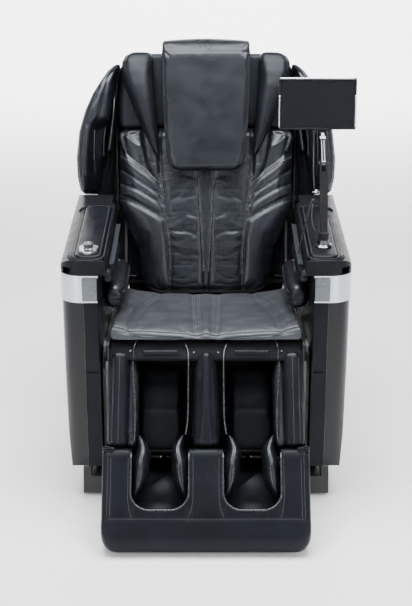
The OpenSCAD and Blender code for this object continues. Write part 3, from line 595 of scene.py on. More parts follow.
def stitching(name, runs, body, spacing=0.0045, length=0.003, thick=0.00045, finish=thread):
    """Sewn stitches along runs of points: a small bead of thread at each step, as one mesh."""
    curve = bpy.data.curves.new(name, "CURVE")
    curve.dimensions = "3D"
    for run in runs:
        if len(run) < 2:
            continue
        line = curve.splines.new("POLY")
        line.points.add(len(run) - 1)
        line.points.foreach_set("co", np.column_stack([run, np.ones(len(run))]).ravel())
    base = bpy.data.objects.new(name + "_run", curve)
    scene.collection.objects.link(base)
    tree = bpy.data.node_groups.new(name, "GeometryNodeTree")
    face = tree.interface
    face.new_socket("Geometry", in_out="INPUT", socket_type="NodeSocketGeometry")
    sockets = {}
    for label, value in (("Spacing", spacing), ("Stitch length", length), ("Thread radius", thick)):
        s = face.new_socket(label, in_out="INPUT", socket_type="NodeSocketFloat")
        s.default_value = value
        sockets[label] = (s.identifier, value)
    face.new_socket("Geometry", in_out="OUTPUT", socket_type="NodeSocketGeometry")
    new = tree.nodes.new
    start, end = new("NodeGroupInput"), new("NodeGroupOutput")
    steps = new("GeometryNodeCurveToPoints")
    steps.mode = "LENGTH"
    bead = new("GeometryNodeMeshUVSphere")
    bead.inputs["Segments"].default_value, bead.inputs["Rings"].default_value = 6, 4
    bead.inputs["Radius"].default_value = 1.0
    size = new("ShaderNodeCombineXYZ")
    put = new("GeometryNodeInstanceOnPoints")
    real, coat = new("GeometryNodeRealizeInstances"), new("GeometryNodeSetMaterial")
    coat.inputs["Material"].default_value = finish.m
    half = new("ShaderNodeMath")
    half.operation = "MULTIPLY"
    half.inputs[1].default_value = 0.5
    join = tree.links.new
    join(start.outputs["Geometry"], steps.inputs["Curve"])
    join(start.outputs["Spacing"], steps.inputs["Length"])
    join(start.outputs["Stitch length"], half.inputs[0])
    join(start.outputs["Thread radius"], size.inputs["X"])
    join(start.outputs["Thread radius"], size.inputs["Y"])
    join(half.outputs[0], size.inputs["Z"])
    join(steps.outputs["Points"], put.inputs["Points"])
    join(steps.outputs["Rotation"], put.inputs["Rotation"])
    join(bead.outputs["Mesh"], put.inputs["Instance"])
    join(size.outputs["Vector"], put.inputs["Scale"])
    join(put.outputs["Instances"], real.inputs["Geometry"])
    join(real.outputs["Geometry"], coat.inputs["Geometry"])
    join(coat.outputs["Geometry"], end.inputs["Geometry"])
    mod = base.modifiers.new("stitches", "NODES")
    mod.node_group = tree
    for identifier, value in sockets.values():
        mod[identifier] = value
    mesh = bpy.data.meshes.new_from_object(base.evaluated_get(bpy.context.evaluated_depsgraph_get()))
    mesh.shade_smooth()
    bpy.data.objects.remove(base)
    piece = bpy.data.objects.new(name, mesh)
    scene.collection.objects.link(piece)
    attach(piece, body)
    return piece


pad_hide = leather("arm pad leather", 0.2, rough=0.42, gloss=0.12)


def arm_pad(side, suffix):
    heights = [(6, -11), (1.5, -8), (0, -4), (0, -1), (0.8, 2), (3, 4.6), (6, 5.6), (11, 6.4), (18, 7.2),
               (26, 7.8), (32, 8.2), (37, 8.4)]
    rings = []
    for inset, z in heights:
        ring = round_corners(290 + inset, 368 - inset, 22 + inset, 430 - inset, max(26 - inset, 1.5), 9)
        fine = []
        for a, b in zip(ring, np.roll(ring, -1, axis=0)):
            k = max(1, int(np.hypot(*(b - a)) / 7))
            fine += [a + (b - a) * t / k for t in range(k)] if inset == 6 and z == -11 else [a]
        rings.append(ring if not fine else np.array(fine))
    count = len(rings[0])
    rings = [np.column_stack([spread_evenly(r, count), np.full(count, z)])
             for r, (_, z) in zip(rings, heights)]
    pad = skin("arm_pad_" + suffix, rings, pad_hide.m, on_arm, side, tuck=(0.97, 0.9, 0.7, 0.4))
    finer(pad)
    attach(pad, "carriage")
    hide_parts("armrest_pad_" + suffix)
    ring = round_corners(296, 362, 28, 424, 20, 8)
    edge = np.column_stack([np.vstack([ring, ring[:1]]), np.full(len(ring) + 1, 0.0)])
    run = lay(flip(edge, side), on_arm, 60, pad, 0.3, (0, 0, -1), 8)
    stitching("arm_pad_stitches_" + suffix, [run], "carriage")


def spread_evenly(ring, count):
    """The closed ring again, as `count` points spread as the first ring's are."""
    closed = np.vstack([ring, ring[:1]])
    run = np.concatenate([[0], np.cumsum(np.hypot(*np.diff(closed, axis=0).T))])
    t = np.linspace(0, run[-1], count, endpoint=False)
    return np.column_stack([np.interp(t, run, closed[:, 0]), np.interp(t, run, closed[:, 1])])


both(arm_pad)


def airbag_roll(name, x, y, z, r, place, side, body, finish, end=26, cols=44, rows=30, belly=0.0):
    """An airbag roll: x and z give its section, y its length, with full round ends."""
    rings = []
    for i in range(rows + 1):
        t = i / rows
        t = 0.5 - 0.5 * math.cos(math.pi * (0.35 * t + 0.65 * (0.5 - 0.5 * math.cos(math.pi * t))))
        along = y[0] + (y[1] - y[0]) * t
        edge = min(along - y[0], y[1] - along)
        close = 1 - math.sqrt(max(0.0, 1 - (1 - min(1, edge / end)) ** 2)) if edge < end else 0.0
        mid_x, mid_z = (x[0] + x[1]) / 2, (z[0] + z[1]) / 2
        half_x = (x[1] - x[0]) / 2 * (1 - 0.62 * close) + belly * math.sin(math.pi * t)
        half_z = (z[1] - z[0]) / 2 * (1 - 0.45 * close)
        corner = min(r, half_x * 0.98, half_z * 0.98)
        ring = spread_evenly(round_corners(-half_x, half_x, -half_z, half_z, corner, 7), cols)
        rings.append(np.column_stack([mid_x + ring[:, 0], np.full(cols, along), mid_z + ring[:, 1]]))
    return skin(name, rings, finish, place, side)


roll_hide = leather("roll leather", 0.6, (1, 3, 1))


def inner_rolls(side, suffix):
    upper = airbag_roll("forearm_roll_" + suffix, (263, 298.5), (-189, 149), (637, 683), 17, flat, side,
                        "carriage", roll_hide.m, 30)
    lower = airbag_roll("hip_roll_" + suffix, (233, 298.5), (-169, 129), (553, 629), 27, flat, side,
                        "carriage", roll_hide.m, 42)
    for piece, most, seams in ((upper, 0.003, [(-120, 60)]),
                               (lower, 0.005, [(-110, 58), (-10, 58), (70, 58)])):
        co = corners_of(piece)
        y, z = co[:, 1] * 1000, co[:, 2] * 1000
        dents = np.zeros(len(co))
        if piece is lower:
            for line in ([(-168, 606), (-60, 596), (40, 600), (128, 612)],
                         [(-168, 580), (-60, 572), (60, 574), (128, 584)]):
                d, run = near(y, z, line)
                dents += 3.2 * np.exp(-d / 6)
                dents += 1.0 * np.maximum(0, rough_land(run, d, 13, 40, 3.1)) * np.exp(-d / 14)
        else:
            d, run = near(y, z, [(-188, 664), (148, 664)])
            dents += 2.4 * np.exp(-d / 5)
        dents += 0.8 * rough_land(y, z, 34, 22, 7.7 + side)
        set_corners(piece, co - normals_of(piece) * dents[:, None] * 0.001)
        finer(piece)
        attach(piece, "carriage")
    if side > 0:
        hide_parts("arm_airbags")
    runs = [lay(flip([(220, y, z) for y, z in line], side), flat, 120, lower, 0.8, (side, 0, 0), 8)
            for line in ([(-150, 603), (-60, 596), (40, 600), (110, 608)],)]
    welts = bars("hip_roll_welt_" + suffix, [(r, 0.0019) for r in runs], welt_hide.m, 8)
    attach(welts, "carriage")
    # webbing strap that ties the forearm roll to the rim
    strap = np.array([(262, -186, 700), (262, -60, 712), (263, 40, 722), (264, 140, 732)], float)
    line = curve_through(strap, 6, 1.0)
    points = []
    for px, py, pz in line:
        for dx, dz in ((-7, -1.5), (7, -3.5), (7, -6), (-7, -4)):
            points.append((px + dx + 6, py, pz + dz))
    faces = ring_faces(len(line), 4)
    band = outward(solid("pod_edge_strap_" + suffix, flip(flat(np.array(points)), side), faces,
                         strap_web.m, smooth=False))
    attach(band, "carriage")


strap_web = Finish("strap webbing", (0.022, 0.026, 0.031), 0.7, Specular_IOR_Level=0.12)
strap_web.shine(strap_web.cloud(200), 0.3, 0.7, 0.08)
strap_web.bump(strap_web.cells(700, stretch=(1, 2.5, 1)), 0.0005, 0.8)
both(inner_rolls)

# ---------- controls ----------
# A silver shield-shaped plate on the right arm pad with a ribbed turning knob and a push
# button, both dark moulded plastic, each with a small raised pointer.
plate_silver = Finish("plate silver", (0.66, 0.67, 0.70), 0.2, 0.95)
plate_silver.shine(plate_silver.cloud(150, 3), 0.3, 0.7, 0.09)
plate_silver.bump(plate_silver.cloud(1100, 2, (1, 0.1, 1)), 0.0001, 0.6)
key_black = Finish("key black", (0.012, 0.012, 0.014), 0.25, Coat_Weight=0.5)
key_black.shine(key_black.cloud(200), 0.3, 0.7, 0.06).bump(key_black.cloud(1800, 2), 0.0001, 0.4)
dress(plate_silver, "control_bezel")
dress(key_black, "control_knob", "control_button")


def ring_bar(centre, rx, ry, z, steps=36):
    t = np.linspace(0, 2 * math.pi, steps + 1)
    return np.column_stack([centre[0] + rx * np.cos(t), centre[1] + ry * np.sin(t), np.full(steps + 1, z)])


shield = [(27 * math.cos(a), 16 + 20 * math.sin(a)) for a in np.radians(np.arange(0, 181, 15))]
shield = np.array(shield + [(-24, -12), (-8, -32), (8, -32), (24, -12), (27, 16)]) * 0.93 + (-330, 62)
trims = [on_arm(np.column_stack([shield, np.full(len(shield), 13.2)])),
         on_arm(ring_bar((-330, 74), 16.5, 16.5, 13.3)), on_arm(ring_bar((-330, 45), 8.5, 8.5, 13.2))]
plate_trim = bars("control_plate_trim", [(trims[0], 0.0009), (trims[1], 0.0008), (trims[2], 0.0007)],
                  clip_steel.m, 8)
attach(plate_trim, "carriage")
pointer = bars("knob_pointer", [(on_arm([(-330, 76, 25.4), (-330, 86, 25.4)]), [0.0007, 0.0005])],
               plate_silver.m, 8)
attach(pointer, "knob")


def pod_shade_board(side, suffix):
    """A thin board in near-black leather that closes the open inner side of the pod behind the two rolls: a
    dark sheet of painted shade where the gap would show.
    """
    points, faces = [], []
    ys, zs = np.linspace(-318, 176, 40), np.linspace(446, 690, 24)
    for x in (296.0, 298.0):
        for y in ys:
            for z in zs:
                points.append((x + 0.5 * math.sin(y / 23 + z / 31), y, z))
    m, n = len(ys), len(zs)
    for s in (0, 1):
        for i in range(m - 1):
            for j in range(n - 1):
                corner = s * m * n + i * n + j
                q = [corner, corner + n, corner + n + 1, corner + 1]
                faces.append(tuple(q if s else q[::-1]))
    down, up = [(m - 1) * n + j for j in range(1, n)], [j for j in range(n - 2, 0, -1)]
    rim = [i * n for i in range(m)] + down + [i * n + n - 1 for i in range(m - 2, -1, -1)] + up
    for a, b in zip(rim, rim[1:] + rim[:1]):
        faces.append((a, b, b + m * n, a + m * n))
    liner = outward(solid("pod_shade_board_" + suffix, flip(flat(np.array(points)), side), faces, painted_shade_hide.m))
    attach(liner, "carriage")


both(pod_shade_board)

# ---------- tablet stand ----------
# A jointed stand on the left arm: flat black lower arm in a chromed socket, twin bright rods
# with jointed knuckles, and a thin gloss tablet in a silver frame that tilts at its foot.
arm_black = Finish("stand black", (0.007, 0.007, 0.008), 0.42, Specular_IOR_Level=0.2)
arm_black.shine(arm_black.cloud(80), 0.3, 0.7, 0.07).bump(arm_black.cloud(1400, 2), 0.0001, 0.5)
glass = Finish("display glass", (0.005, 0.006, 0.008), 0.12,
               Specular_IOR_Level=0.15, Coat_Weight=0.25, Coat_Roughness=0.04)
glass.shine(glass.cloud(6, 2), 0.3, 0.7, 0.04).bump(glass.cloud(3, 1), 0.0004, 0.2)
chrome = Finish("chrome", (0.12, 0.125, 0.14), 0.15, 1.0)
chrome.shine(chrome.cloud(60), 0.3, 0.7, 0.04).bump(chrome.cloud(300, 2), 0.00005, 0.3)
dress(arm_black, "tablet_arm_lower")
dress(chrome, "tablet_arm_upper", "mast_socket")
dress(piano, "tablet")
dress(glass, "tablet_screen")

screen_at = np.array([v.co for v in node["tablet_screen"].data.vertices])
low = screen_at[screen_at[:, 2] < screen_at[:, 2].min() + 0.004]
high = screen_at[screen_at[:, 2] > screen_at[:, 2].max() - 0.004]
low_front, high_front = low[low[:, 1].argmin()], high[high[:, 1].argmin()]
up = np.array([0, high_front[1] - low_front[1], high_front[2] - low_front[2]])
up /= np.linalg.norm(up)
out = np.array([0, -up[2], up[1]])
tablet_mid = (low_front + high_front) / 2
tablet_mid[0] = (screen_at[:, 0].min() + screen_at[:, 0].max()) / 2


def on_tablet(p):
    p = np.asarray(p, float) * 0.001
    return tablet_mid + p[:, :1] * np.array([1, 0, 0]) + p[:, 1:2] * up + p[:, 2:3] * out


def tablet_ring(half_w, half_h, r, depth):
    ring = round_corners(-half_w, half_w, -half_h, half_h, r, 6)
    return np.column_stack([ring, np.full(len(ring), depth)])


frame_rings = [tablet_ring(*a) for a in ((109.6, 71.6, 5.2, -12), (110.4, 72.4, 6, -7),
                                         (110.4, 72.4, 6, -1.6),
                                         (109.4, 71.4, 5, 0.3), (106.8, 68.8, 3.5, 0.5),
                                         (105.4, 67.4, 2.5, -0.4))]
bezel = outward(solid("tablet_frame", on_tablet(np.vstack(frame_rings)),
                             ring_faces(6, len(frame_rings[0]), cap0=False, cap1=False), arm_black.m))
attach(bezel, "screen")
edge_strips = bars("tablet_edge_strips", [
    (on_tablet([(x, 71.2, -0.3) for x in np.linspace(-107, 107, 24)]), 0.0024),
    (on_tablet([(-107.8, y, 0.2) for y in np.linspace(-66, 24, 12)]), 0.0017),
    (on_tablet([(107.8, y, 0.2) for y in np.linspace(-66, 24, 12)]), 0.0017)], plate_silver.m, 10)
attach(edge_strips, "screen")
socket = bars("tablet_sockets", [(on_tablet([(-6.5, -73, -6), (-6.5, -79, -6)]), 0.0035),
                                 (on_tablet([(-12, -73, -6), (-12, -77, -6)]), 0.002)], chrome.m, 12)
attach(socket, "screen")

# ---------- seat cushion ----------
# Moulded foam under black leather: a long centre strip between double seams, two slanting
# seams that run out to the sides, a piped front edge, and sides that rise towards the pods.


def cushion(name, z0, z1, rows, cols, wide, face, back, finish, place, roll=26, shut=0.25):
    """Padded block: face towards local -y, length along z, with rolled sides and ends."""
    rings = []
    for i in range(rows + 1):
        s = i / rows
        t = 0.5 * s + 0.5 * (0.5 - 0.5 * math.cos(math.pi * s))
        z = z0 + (z1 - z0) * t
        deep = back(z) - float(face(np.zeros(1), z)[0])
        r = min(roll, deep * 0.48)
        edge = min(z - z0, z1 - z)
        fall = 1 - math.sqrt(max(0.0, 1 - (1 - min(1.0, edge / r)) ** 2))
        w = wide(z) - r * fall
        ring = spread_evenly(round_corners(-w, w, 0, deep, r, 9), cols)
        share = ring[:, 1] / deep * (1 - fall * min(0.9, r / deep * (1 - shut) + shut))
        y = back(z) - share * (back(z) - face(ring[:, 0] / w, z))
        rings.append(np.column_stack([ring[:, 0], y, np.full(cols, z)]))
    return skin(name, rings, finish, place)


def press(piece, place, field, facing=(0, -1, 0)):
    """Moves the skin along its normals by field(local points) millimetres where it faces out."""
    co, n = corners_of(piece), normals_of(piece)
    front = np.clip((place.way(n) @ np.array(facing, float) - 0.1) / 0.45, 0, 1)
    set_corners(piece, co + n * (field(place.local(co)) * front)[:, None] * 0.001)
    return piece


def valley(d, deep, wide, cut=2.5):
    """A sewn seam: the foam rounds down to it over `wide`, and a fine cut marks the thread."""
    return -(deep * np.exp(-d / wide) + 0.45 * deep * np.exp(-d / cut))


def smooth(t):
    t = np.clip(t, 0, 1)
    return t * t * (3 - 2 * t)


on_seat = Place((0, 0, 0), -90)
seat_strip = [(40, 128), (38, 0), (34, -160), (30, -283)]
seat_strip_in = [(24, 128), (22, 0), (19, -160), (17, -283)]
seat_slant = [(134, 128), (150, 60), (186, -60), (206, -190), (212, -283)]


def seat_face(u, y):
    x = np.abs(u)
    return -(521 - 6 * smooth((y + 200) / 200) + 24 * x ** 3 - 9 * max(0.0, (-200 - y) / 90) ** 2)


def seat_under(y):
    return -(504 + (440 - 504) * min(1, max(0, (y + 222) / 22)))


def seat_dents(p):
    x, y = np.abs(p[:, 0]), p[:, 2]
    d1, r1 = near(x, y, seat_strip)
    d2, _ = near(x, y, seat_strip_in)
    d3, r3 = near(x, y, seat_slant)
    d4, _ = near(x, y, [(a + 8, b) for a, b in seat_slant])
    d5, r5 = near(x, y, [(0, -263), (290, -263)])
    out = valley(d1, 3.5, 9) + valley(d2, 2.2, 5) + valley(d3, 3.2, 12)
    out = out + valley(d4, 2.2, 5) + valley(d5, 2.5, 7)
    out += 3.0 * np.exp(-(x / 15) ** 2) * smooth((-40 - y) / 60)
    out += 0.7 * rough_land(r3, d3, 11, 60, 4.2) * np.exp(-d3 / 18)
    out += 0.6 * rough_land(r5, d5, 12, 60, 9.2) * np.exp(-d5 / 20)
    out += 1.6 * rough_land(x, y, 70, 46, 2.5)
    return out


seat_hide = leather("seat leather", 0.45, (1, 2.4, 1), rough=0.56, gloss=1.0)
seat = cushion("seat", -283, 128, 92, 190, lambda y: 270 - 6 * float(smooth((y - 20) / 120)),
               seat_face, seat_under,
               seat_hide.m, on_seat, 22)
place_now = on_seat.local(corners_of(seat))
sewn = np.maximum(np.exp(-near(np.abs(place_now[:, 0]), place_now[:, 2], seat_strip)[0] / 5),
                  np.exp(-near(np.abs(place_now[:, 0]), place_now[:, 2], seat_slant)[0] / 5))
sewn = np.maximum(sewn, place_now[:, 1] > -490)
swell(seat, 0.006, sewn, 3.0)
press(seat, on_seat, seat_dents)
finer(seat)
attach(seat, "carriage")
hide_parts("seat_cushion")


def on_top(line, above=620):
    return lay([(x, 0, y) for x, y in line], on_seat, above, seat, 0.3)


seat_lines = [on_top([(s * (a + o), b) for a, b in line[1 if line is seat_slant else 0:]])
              for line in (seat_strip, seat_strip_in, seat_slant) for s in (1, -1)
              for o in ((3, -3) if line is not seat_slant else (12, -4))]
stitching("seat_stitches", seat_lines, "carriage")
front_edge = on_top([(-262, -262), (-180, -266), (-60, -268), (60, -268), (180, -266), (262, -262)])
side_edges = [on_top([(s * 258, -262), (s * 262, -200), (s * 262, -60), (s * 258, 60), (s * 250, 122)])
              for s in (1, -1)]
seat_welt = bars("seat_welt", [(front_edge, 0.0026)] + [(e, 0.0022) for e in side_edges], welt_hide.m, 8)
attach(seat_welt, "carriage")

# ---------- backrest ----------
# Steel side plates and cross tubes carry a gloss rear cover and the long back cushion: two
# wrinkled columns beside a sunk centre, slanting padded channels, and smooth side panels.
on_back = Place((0, 235, 440), -18)
dress(piano, "back_shell")
main_seam = [(148, 560), (145, 411), (135, 358), (126, 275), (117, 193), (113, 90), (112, 20)]
centre_seam = [(26, 560), (24, 400), (15, 240), (8, 100), (6, 20)]
channels = [[(285, 480), (137, 376)], [(278, 430), (139, 342)], [(280, 385), (210, 358), (140, 315)],
            [(292, 347), (255, 336), (208, 314), (140, 276)]]


def back_face(u, z):
    return -(88 + 6 * float(smooth(1 - abs(z - 230) / 200)) - 12 * np.abs(u) ** 4)


def back_wide(z):
    return float(np.interp(z, [34, 60, 94, 173, 230, 290, 346, 400, 556],
                           [170, 196, 206, 216, 240, 268, 276, 272, 281]))


def back_dents(p):
    x, z = np.abs(p[:, 0]), p[:, 2]
    d1, r1 = near(x, z, main_seam)
    d2, _ = near(x, z, centre_seam)
    beyond = x - np.interp(z, [b for a, b in reversed(main_seam)], [a for a, b in reversed(main_seam)])
    outside = smooth(beyond / 4)
    within = smooth(-beyond / 10) * smooth((x - 22) / 10)
    out = valley(d1, 6.5, 10) + valley(d2, 5, 6)
    out -= 7 * smooth((np.interp(z, [20, 560], [6, 26]) - x) / 5)
    for k, line in enumerate(channels):
        d, run = near(x, z, line)
        out += outside * (valley(d, 6.5, 11) + 0.8 * rough_land(run, d, 9, 40, 5.5 + k) * np.exp(-d / 12))
    d4, _ = near(x, z, [(a, b - 9) for a, b in channels[3]])
    out += outside * valley(d4, 2.4, 4)
    over = z - np.interp(x, [137, 285], [376, 480])
    edge, _ = near(x, z, [(205, 575), (196, 520), (182, 450), (150, 385)])
    past = np.where(x > np.interp(z, [385, 450, 520, 575], [150, 182, 196, 205]), 1.0, 0.0)
    out -= outside * smooth(over / 12) * (14 * past * smooth(edge / 12) - 4 * (1 - past))
    d6, _ = near(x, z, [(137, 445), (196, 445)])
    out += outside * valley(d6, 3, 6)
    # folds across the soft columns, deepest where the robot's rollers have worked them
    fold = rough_land(x + 0.25 * z, z, 90, 21, 1.3 + 0.0)
    out += within * (-2.6 * np.exp(-np.abs(fold) * 9) + 1.2 * rough_land(x, z, 30, 16, 6.1))
    for line in ([(118, 226), (70, 232), (36, 220)],
                 [(112, 160), (96, 163), (60, 150), (28, 154)], [(128, 316), (80, 346)]):
        d, _ = near(x, z, line)
        out += within * -3.4 * np.exp(-d / 4.5)
    out += 0.9 * rough_land(r1, d1, 10, 60, 8.8) * np.exp(-d1 / 16)
    out += 4 * outside * np.exp(-((z - 180) / 80) ** 2)
    out += 1.4 * rough_land(x, z, 80, 60, 3.7)
    return out


back_hide = leather("back leather", 0.5, (2.2, 1, 1))
back = cushion("back", 34, 556, 122, 190, back_wide, back_face, lambda z: -22, back_hide.m, on_back, 30)
place_now = on_back.local(corners_of(back))
sewn = np.exp(-near(np.abs(place_now[:, 0]), place_now[:, 2], main_seam)[0] / 5)
sewn = np.maximum(sewn, np.exp(-near(np.abs(place_now[:, 0]), place_now[:, 2], centre_seam)[0] / 5))
sewn = np.maximum(sewn, place_now[:, 1] > -34)
swell(back, 0.007, sewn, 3.5)
press(back, on_back, back_dents)
finer(back)
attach(back, "back")
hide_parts("back_cushion")


def down_back(line, cover, lift=0.4, scale=4.0):
    return lay([(x, 0, z) for x, z in line], on_back, 260, cover, lift, scale=scale)


def two(line):
    return [line, [(-x, z) for x, z in line]]


back_welt = bars("back_welt", [(down_back(l, back), 0.0024) for line in (
    main_seam[1:-1], centre_seam[1:-1], channels[0]) for l in two(line)], welt_hide.m, 8)
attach(back_welt, "back")
stitching("back_stitches", [down_back(l, back) for line in (
    [(a + 6, b) for a, b in main_seam[1:-1]], [(a - 6, b) for a, b in main_seam[1:-1]],
    [(a + 7, b) for a, b in centre_seam[1:-1]], [(a, b - 4.5) for a, b in channels[0]],
    [(a, b - 3) for a, b in channels[1]], [(a, b - 3) for a, b in channels[2]],
    [(a, b - 12) for a, b in channels[3]], [(a, b + 3) for a, b in channels[3]]) for l in two(line)], "back")

# ---------- head cushion ----------
# A shallow pad behind the head with a full, tapering wedge sewn on at each side; the wedges
# run down beside the pillow and end in a point over the shoulder panels.
head_hide = leather("head leather", 0.3, (1, 1, 1), rough=0.38, gloss=0.2)


def head_wide(z):
    return float(np.interp(z, [559, 640, 720, 770, 800], [276, 280, 272, 250, 214]))


head_pad = cushion("head_pad", 559, 799, 40, 120, head_wide,
                   lambda u, z: -(58 - 10 * np.abs(u) ** 3), lambda z: -22,
                   head_hide.m, on_back, 16)
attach(head_pad, "back")
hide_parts("head_cushion")
wedge = np.array([  # height, inner x, outer x, front, rear
    (470, 149, 156, -103, -94), (484, 150, 164, -107, -92), (514, 152, 180, -112, -88),
    (560, 156, 203, -117, -58),
    (600, 159, 220, -119, -50), (640, 162, 237, -119, -46), (686, 166, 256, -116, -42),
    (730, 168, 267, -108, -40),
    (765, 168, 266, -98, -40), (785, 170, 256, -86, -40), (796, 176, 238, -74, -40)], float)


def wedge_pad(side, suffix):
    rings = []
    for t in np.linspace(0, 1, 46):
        z = 470 + 326 * (0.4 * t + 0.6 * (0.5 - 0.5 * math.cos(math.pi * t)))
        xi, xo, f, r = (np.interp(z, wedge[:, 0], wedge[:, k]) for k in range(1, 5))
        w, h = (xo - xi) / 2, (r - f) / 2
        ring = spread_evenly(round_corners(-w, w, -h, h, min(w, h) * 0.92, 9), 52)
        crown = -3 * np.clip(-ring[:, 1] / h, 0, 1) * (1 - (ring[:, 0] / w) ** 2)
        rings.append(np.column_stack([(xi + xo) / 2 + ring[:, 0], (f + r) / 2 + ring[:, 1] + crown,
                                      np.full(52, z)]))
    pad = skin("side_wedge_" + suffix, rings, head_hide.m, on_back, side)
    swell(pad, 0.005, None, 3.0)
    press(pad, on_back, lambda p: 1.3 * rough_land(np.abs(p[:, 0]), p[:, 2], 40, 70, 2.2 + side) +
          valley(near(np.abs(p[:, 0]), p[:, 2], [(w[2] - 7, w[0]) for w in wedge[1:-1]])[0], 1.6, 4))
    finer(pad)
    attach(pad, "back")


both(wedge_pad)

# ---------- shoulder wings ----------
# Padded shells that stand forward beside the shoulders: leather over foam, rolled along the
# front lip, hollow on the inner side where the shoulder airbags sit.
wing_hide = leather("wing leather", 0.35, (1, 1, 0.5), rough=0.34)
wing = np.array([  # height, inner x, outer x, front, rear
    (353, 352, 391, -46, 24), (362, 344, 401, -74, 39), (400, 334, 408, -108, 56), (460, 322, 409, -128, 68),
    (540, 308, 400, -138, 76), (610, 297.5, 380, -136, 78),
    (660, 294.5, 357, -128, 58), (700, 294, 332, -116, 24),
    (734, 285.5, 310, -100, -21.5), (750, 275, 294, -88, -31), (757, 272.5, 283, -80, -40)], float)


def wing_shell(side, suffix):
    rings = []
    for t in np.linspace(0, 1, 74):
        z = 353 + 404 * (0.5 * t + 0.5 * (0.5 - 0.5 * math.cos(math.pi * t)))
        xi, xo, f, r = (np.interp(z, wing[:, 0], wing[:, k]) for k in range(1, 5))
        k = min(1.0, (xo - xi) / 76)
        full = float(smooth((z - 548) / 40))
        hollow = (xi + (xo - xi) * 0.42, f + 44 * k - 34 * k * full)
        loop = [(xo - 3 * k, r - 10 * k), (xo, (f + r) / 2 + 10 * k), (xo - 2 * k, f + 30 * k),
                (xo - 11 * k, f + 8 * k),
                (xo - 24 * k, f), (xo - 38 * k, f + 8 * k - 6 * k * full), hollow,
                (xi + 3 * k, min(f + 92 * k - 50 * k * full, r - 14)), (xi, r - 10 * k),
                (xi + 10 * k, r), (xo - 16 * k, r)]
        loop = np.array(loop)
        dense = curve_through(np.vstack([loop[-1:], loop, loop[:2]]), 8, 1.0)[8:-8]
        rings.append(np.column_stack([spread_evenly(dense[:-1], 72), np.full(72, z)]))
    shell = skin("wing_shell_" + suffix, rings, wing_hide.m, on_back, side)

    def seams(p):
        x, z = np.abs(p[:, 0]), p[:, 2]
        d, run = near(x, z, [(268, 752), (300, 722), (334, 676), (356, 614), (366, 560)])
        e, _ = near(x, z, [(366, 560), (330, 552), (300, 566)])
        out = valley(d, 3.0, 6) + valley(e, 3.0, 6)
        out = out + 1.2 * rough_land(x, z, 46, 90, 5.2)
        return out + 0.5 * rough_land(run, d, 12, 40, 1.7) * np.exp(-d / 12)

    press(shell, on_back, seams)
    finer(shell)
    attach(shell, "back")
    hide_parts("wing_" + suffix)
    welt_runs = [down_back([(side * x, z) for x, z in line], shell) for line in (
        [(352, 410), (354, 470), (350, 545)], [(326, 470), (324, 520), (318, 560)],
        [(392, 380), (398, 430), (394, 500), (386, 560)])]
    welts = bars("wing_welt_" + suffix, [(r, 0.002) for r in welt_runs if len(r) > 3], welt_hide.m, 8)
    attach(welts, "back")


both(wing_shell)


def wing_lining(side, suffix):
    """The soft gusset that joins the wing's inner edge to the side of the back, in near-black leather: its
    dark tone is painted shade in the wing's hollow.
    """
    rings = []
    for z in np.linspace(92, 756, 70):
        reach = np.interp(z, [90, 200, 222, 326, 336, 356, 400, 460, 540, 610, 660, 700, 744, 758],
                          [279, 279, 297, 300, 350, 352, 350, 338, 322, 310, 304, 304, 292, 282])
        inner = np.interp(z, [90, 240, 290, 352, 600, 660, 756], [204, 210, 250, 257, 260, 244, 240])
        front = np.interp(z, [285, 352, 430, 620, 742], [-14, 16, 2, -14, -22])
        full = np.interp(z, [285, 352], [0.35, 1])
        u = np.linspace(0, 1, 22)
        sag = full * (9 * np.sin(math.pi * u) - 6 * np.exp(-((u - 0.55) / 0.08) ** 2))
        x = inner + (reach - inner) * u
        face = front + sag
        rings.append(np.column_stack([np.r_[x, x[::-1]], np.r_[face, face[::-1] + 9 * full], np.full(44, z)]))
    lining = skin("wing_lining_" + suffix, rings, painted_shade_hide.m, on_back, side, (0.95, 0.85))
    press(lining, on_back, lambda p: 1.8 * rough_land(np.abs(p[:, 0]), p[:, 2], 20, 60, 4.6))
    finer(lining)
    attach(lining, "back")


both(wing_lining)
bag = np.array([(477, 304, 312.5, -85, -41), (484, 297.5, 313.5, -91, -29), (540, 291.5, 304.5, -93, -25),
                (600, 287.5, 295.5, -91, -25),
                (652, 286.3, 291.7, -79, -27), (663, 287, 291, -72, -40)], float)


# Shoulder airbags in the wing's hollow, in near-black leather: the dark tone is painted shade.
def shoulder_bag(side, suffix):
    rings = []
    for t in np.linspace(0, 1, 30):
        z = 477 + 186 * (0.4 * t + 0.6 * (0.5 - 0.5 * math.cos(math.pi * t)))
        xi, xo, f, r = (np.interp(z, bag[:, 0], bag[:, k]) for k in range(1, 5))
        w, h = (xo - xi) / 2, (r - f) / 2
        ring = spread_evenly(round_corners(-w, w, -h, h, w * 0.9, 7), 40)
        rings.append(np.column_stack([(xi + xo) / 2 + ring[:, 0], (f + r) / 2 + ring[:, 1], np.full(40, z)]))
    pad = skin("shoulder_bag_" + suffix, rings, painted_shade_hide.m, on_back, side)
    finer(pad)
    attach(pad, "back")
    if side > 0:
        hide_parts("wing_airbags")
    at = bag[1:-1]
    front = [(s * 0.5, f - 0.5, z) for z, s, f in zip(at[:, 0], at[:, 1] + at[:, 2], at[:, 3])]
    line = curve_through(flip(on_back(np.array(front)), side) * 1000, 6)
    welt = bars("shoulder_bag_welt_" + suffix, [(line, 0.0017)], welt_hide.m, 8)
    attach(welt, "back")


both(shoulder_bag)

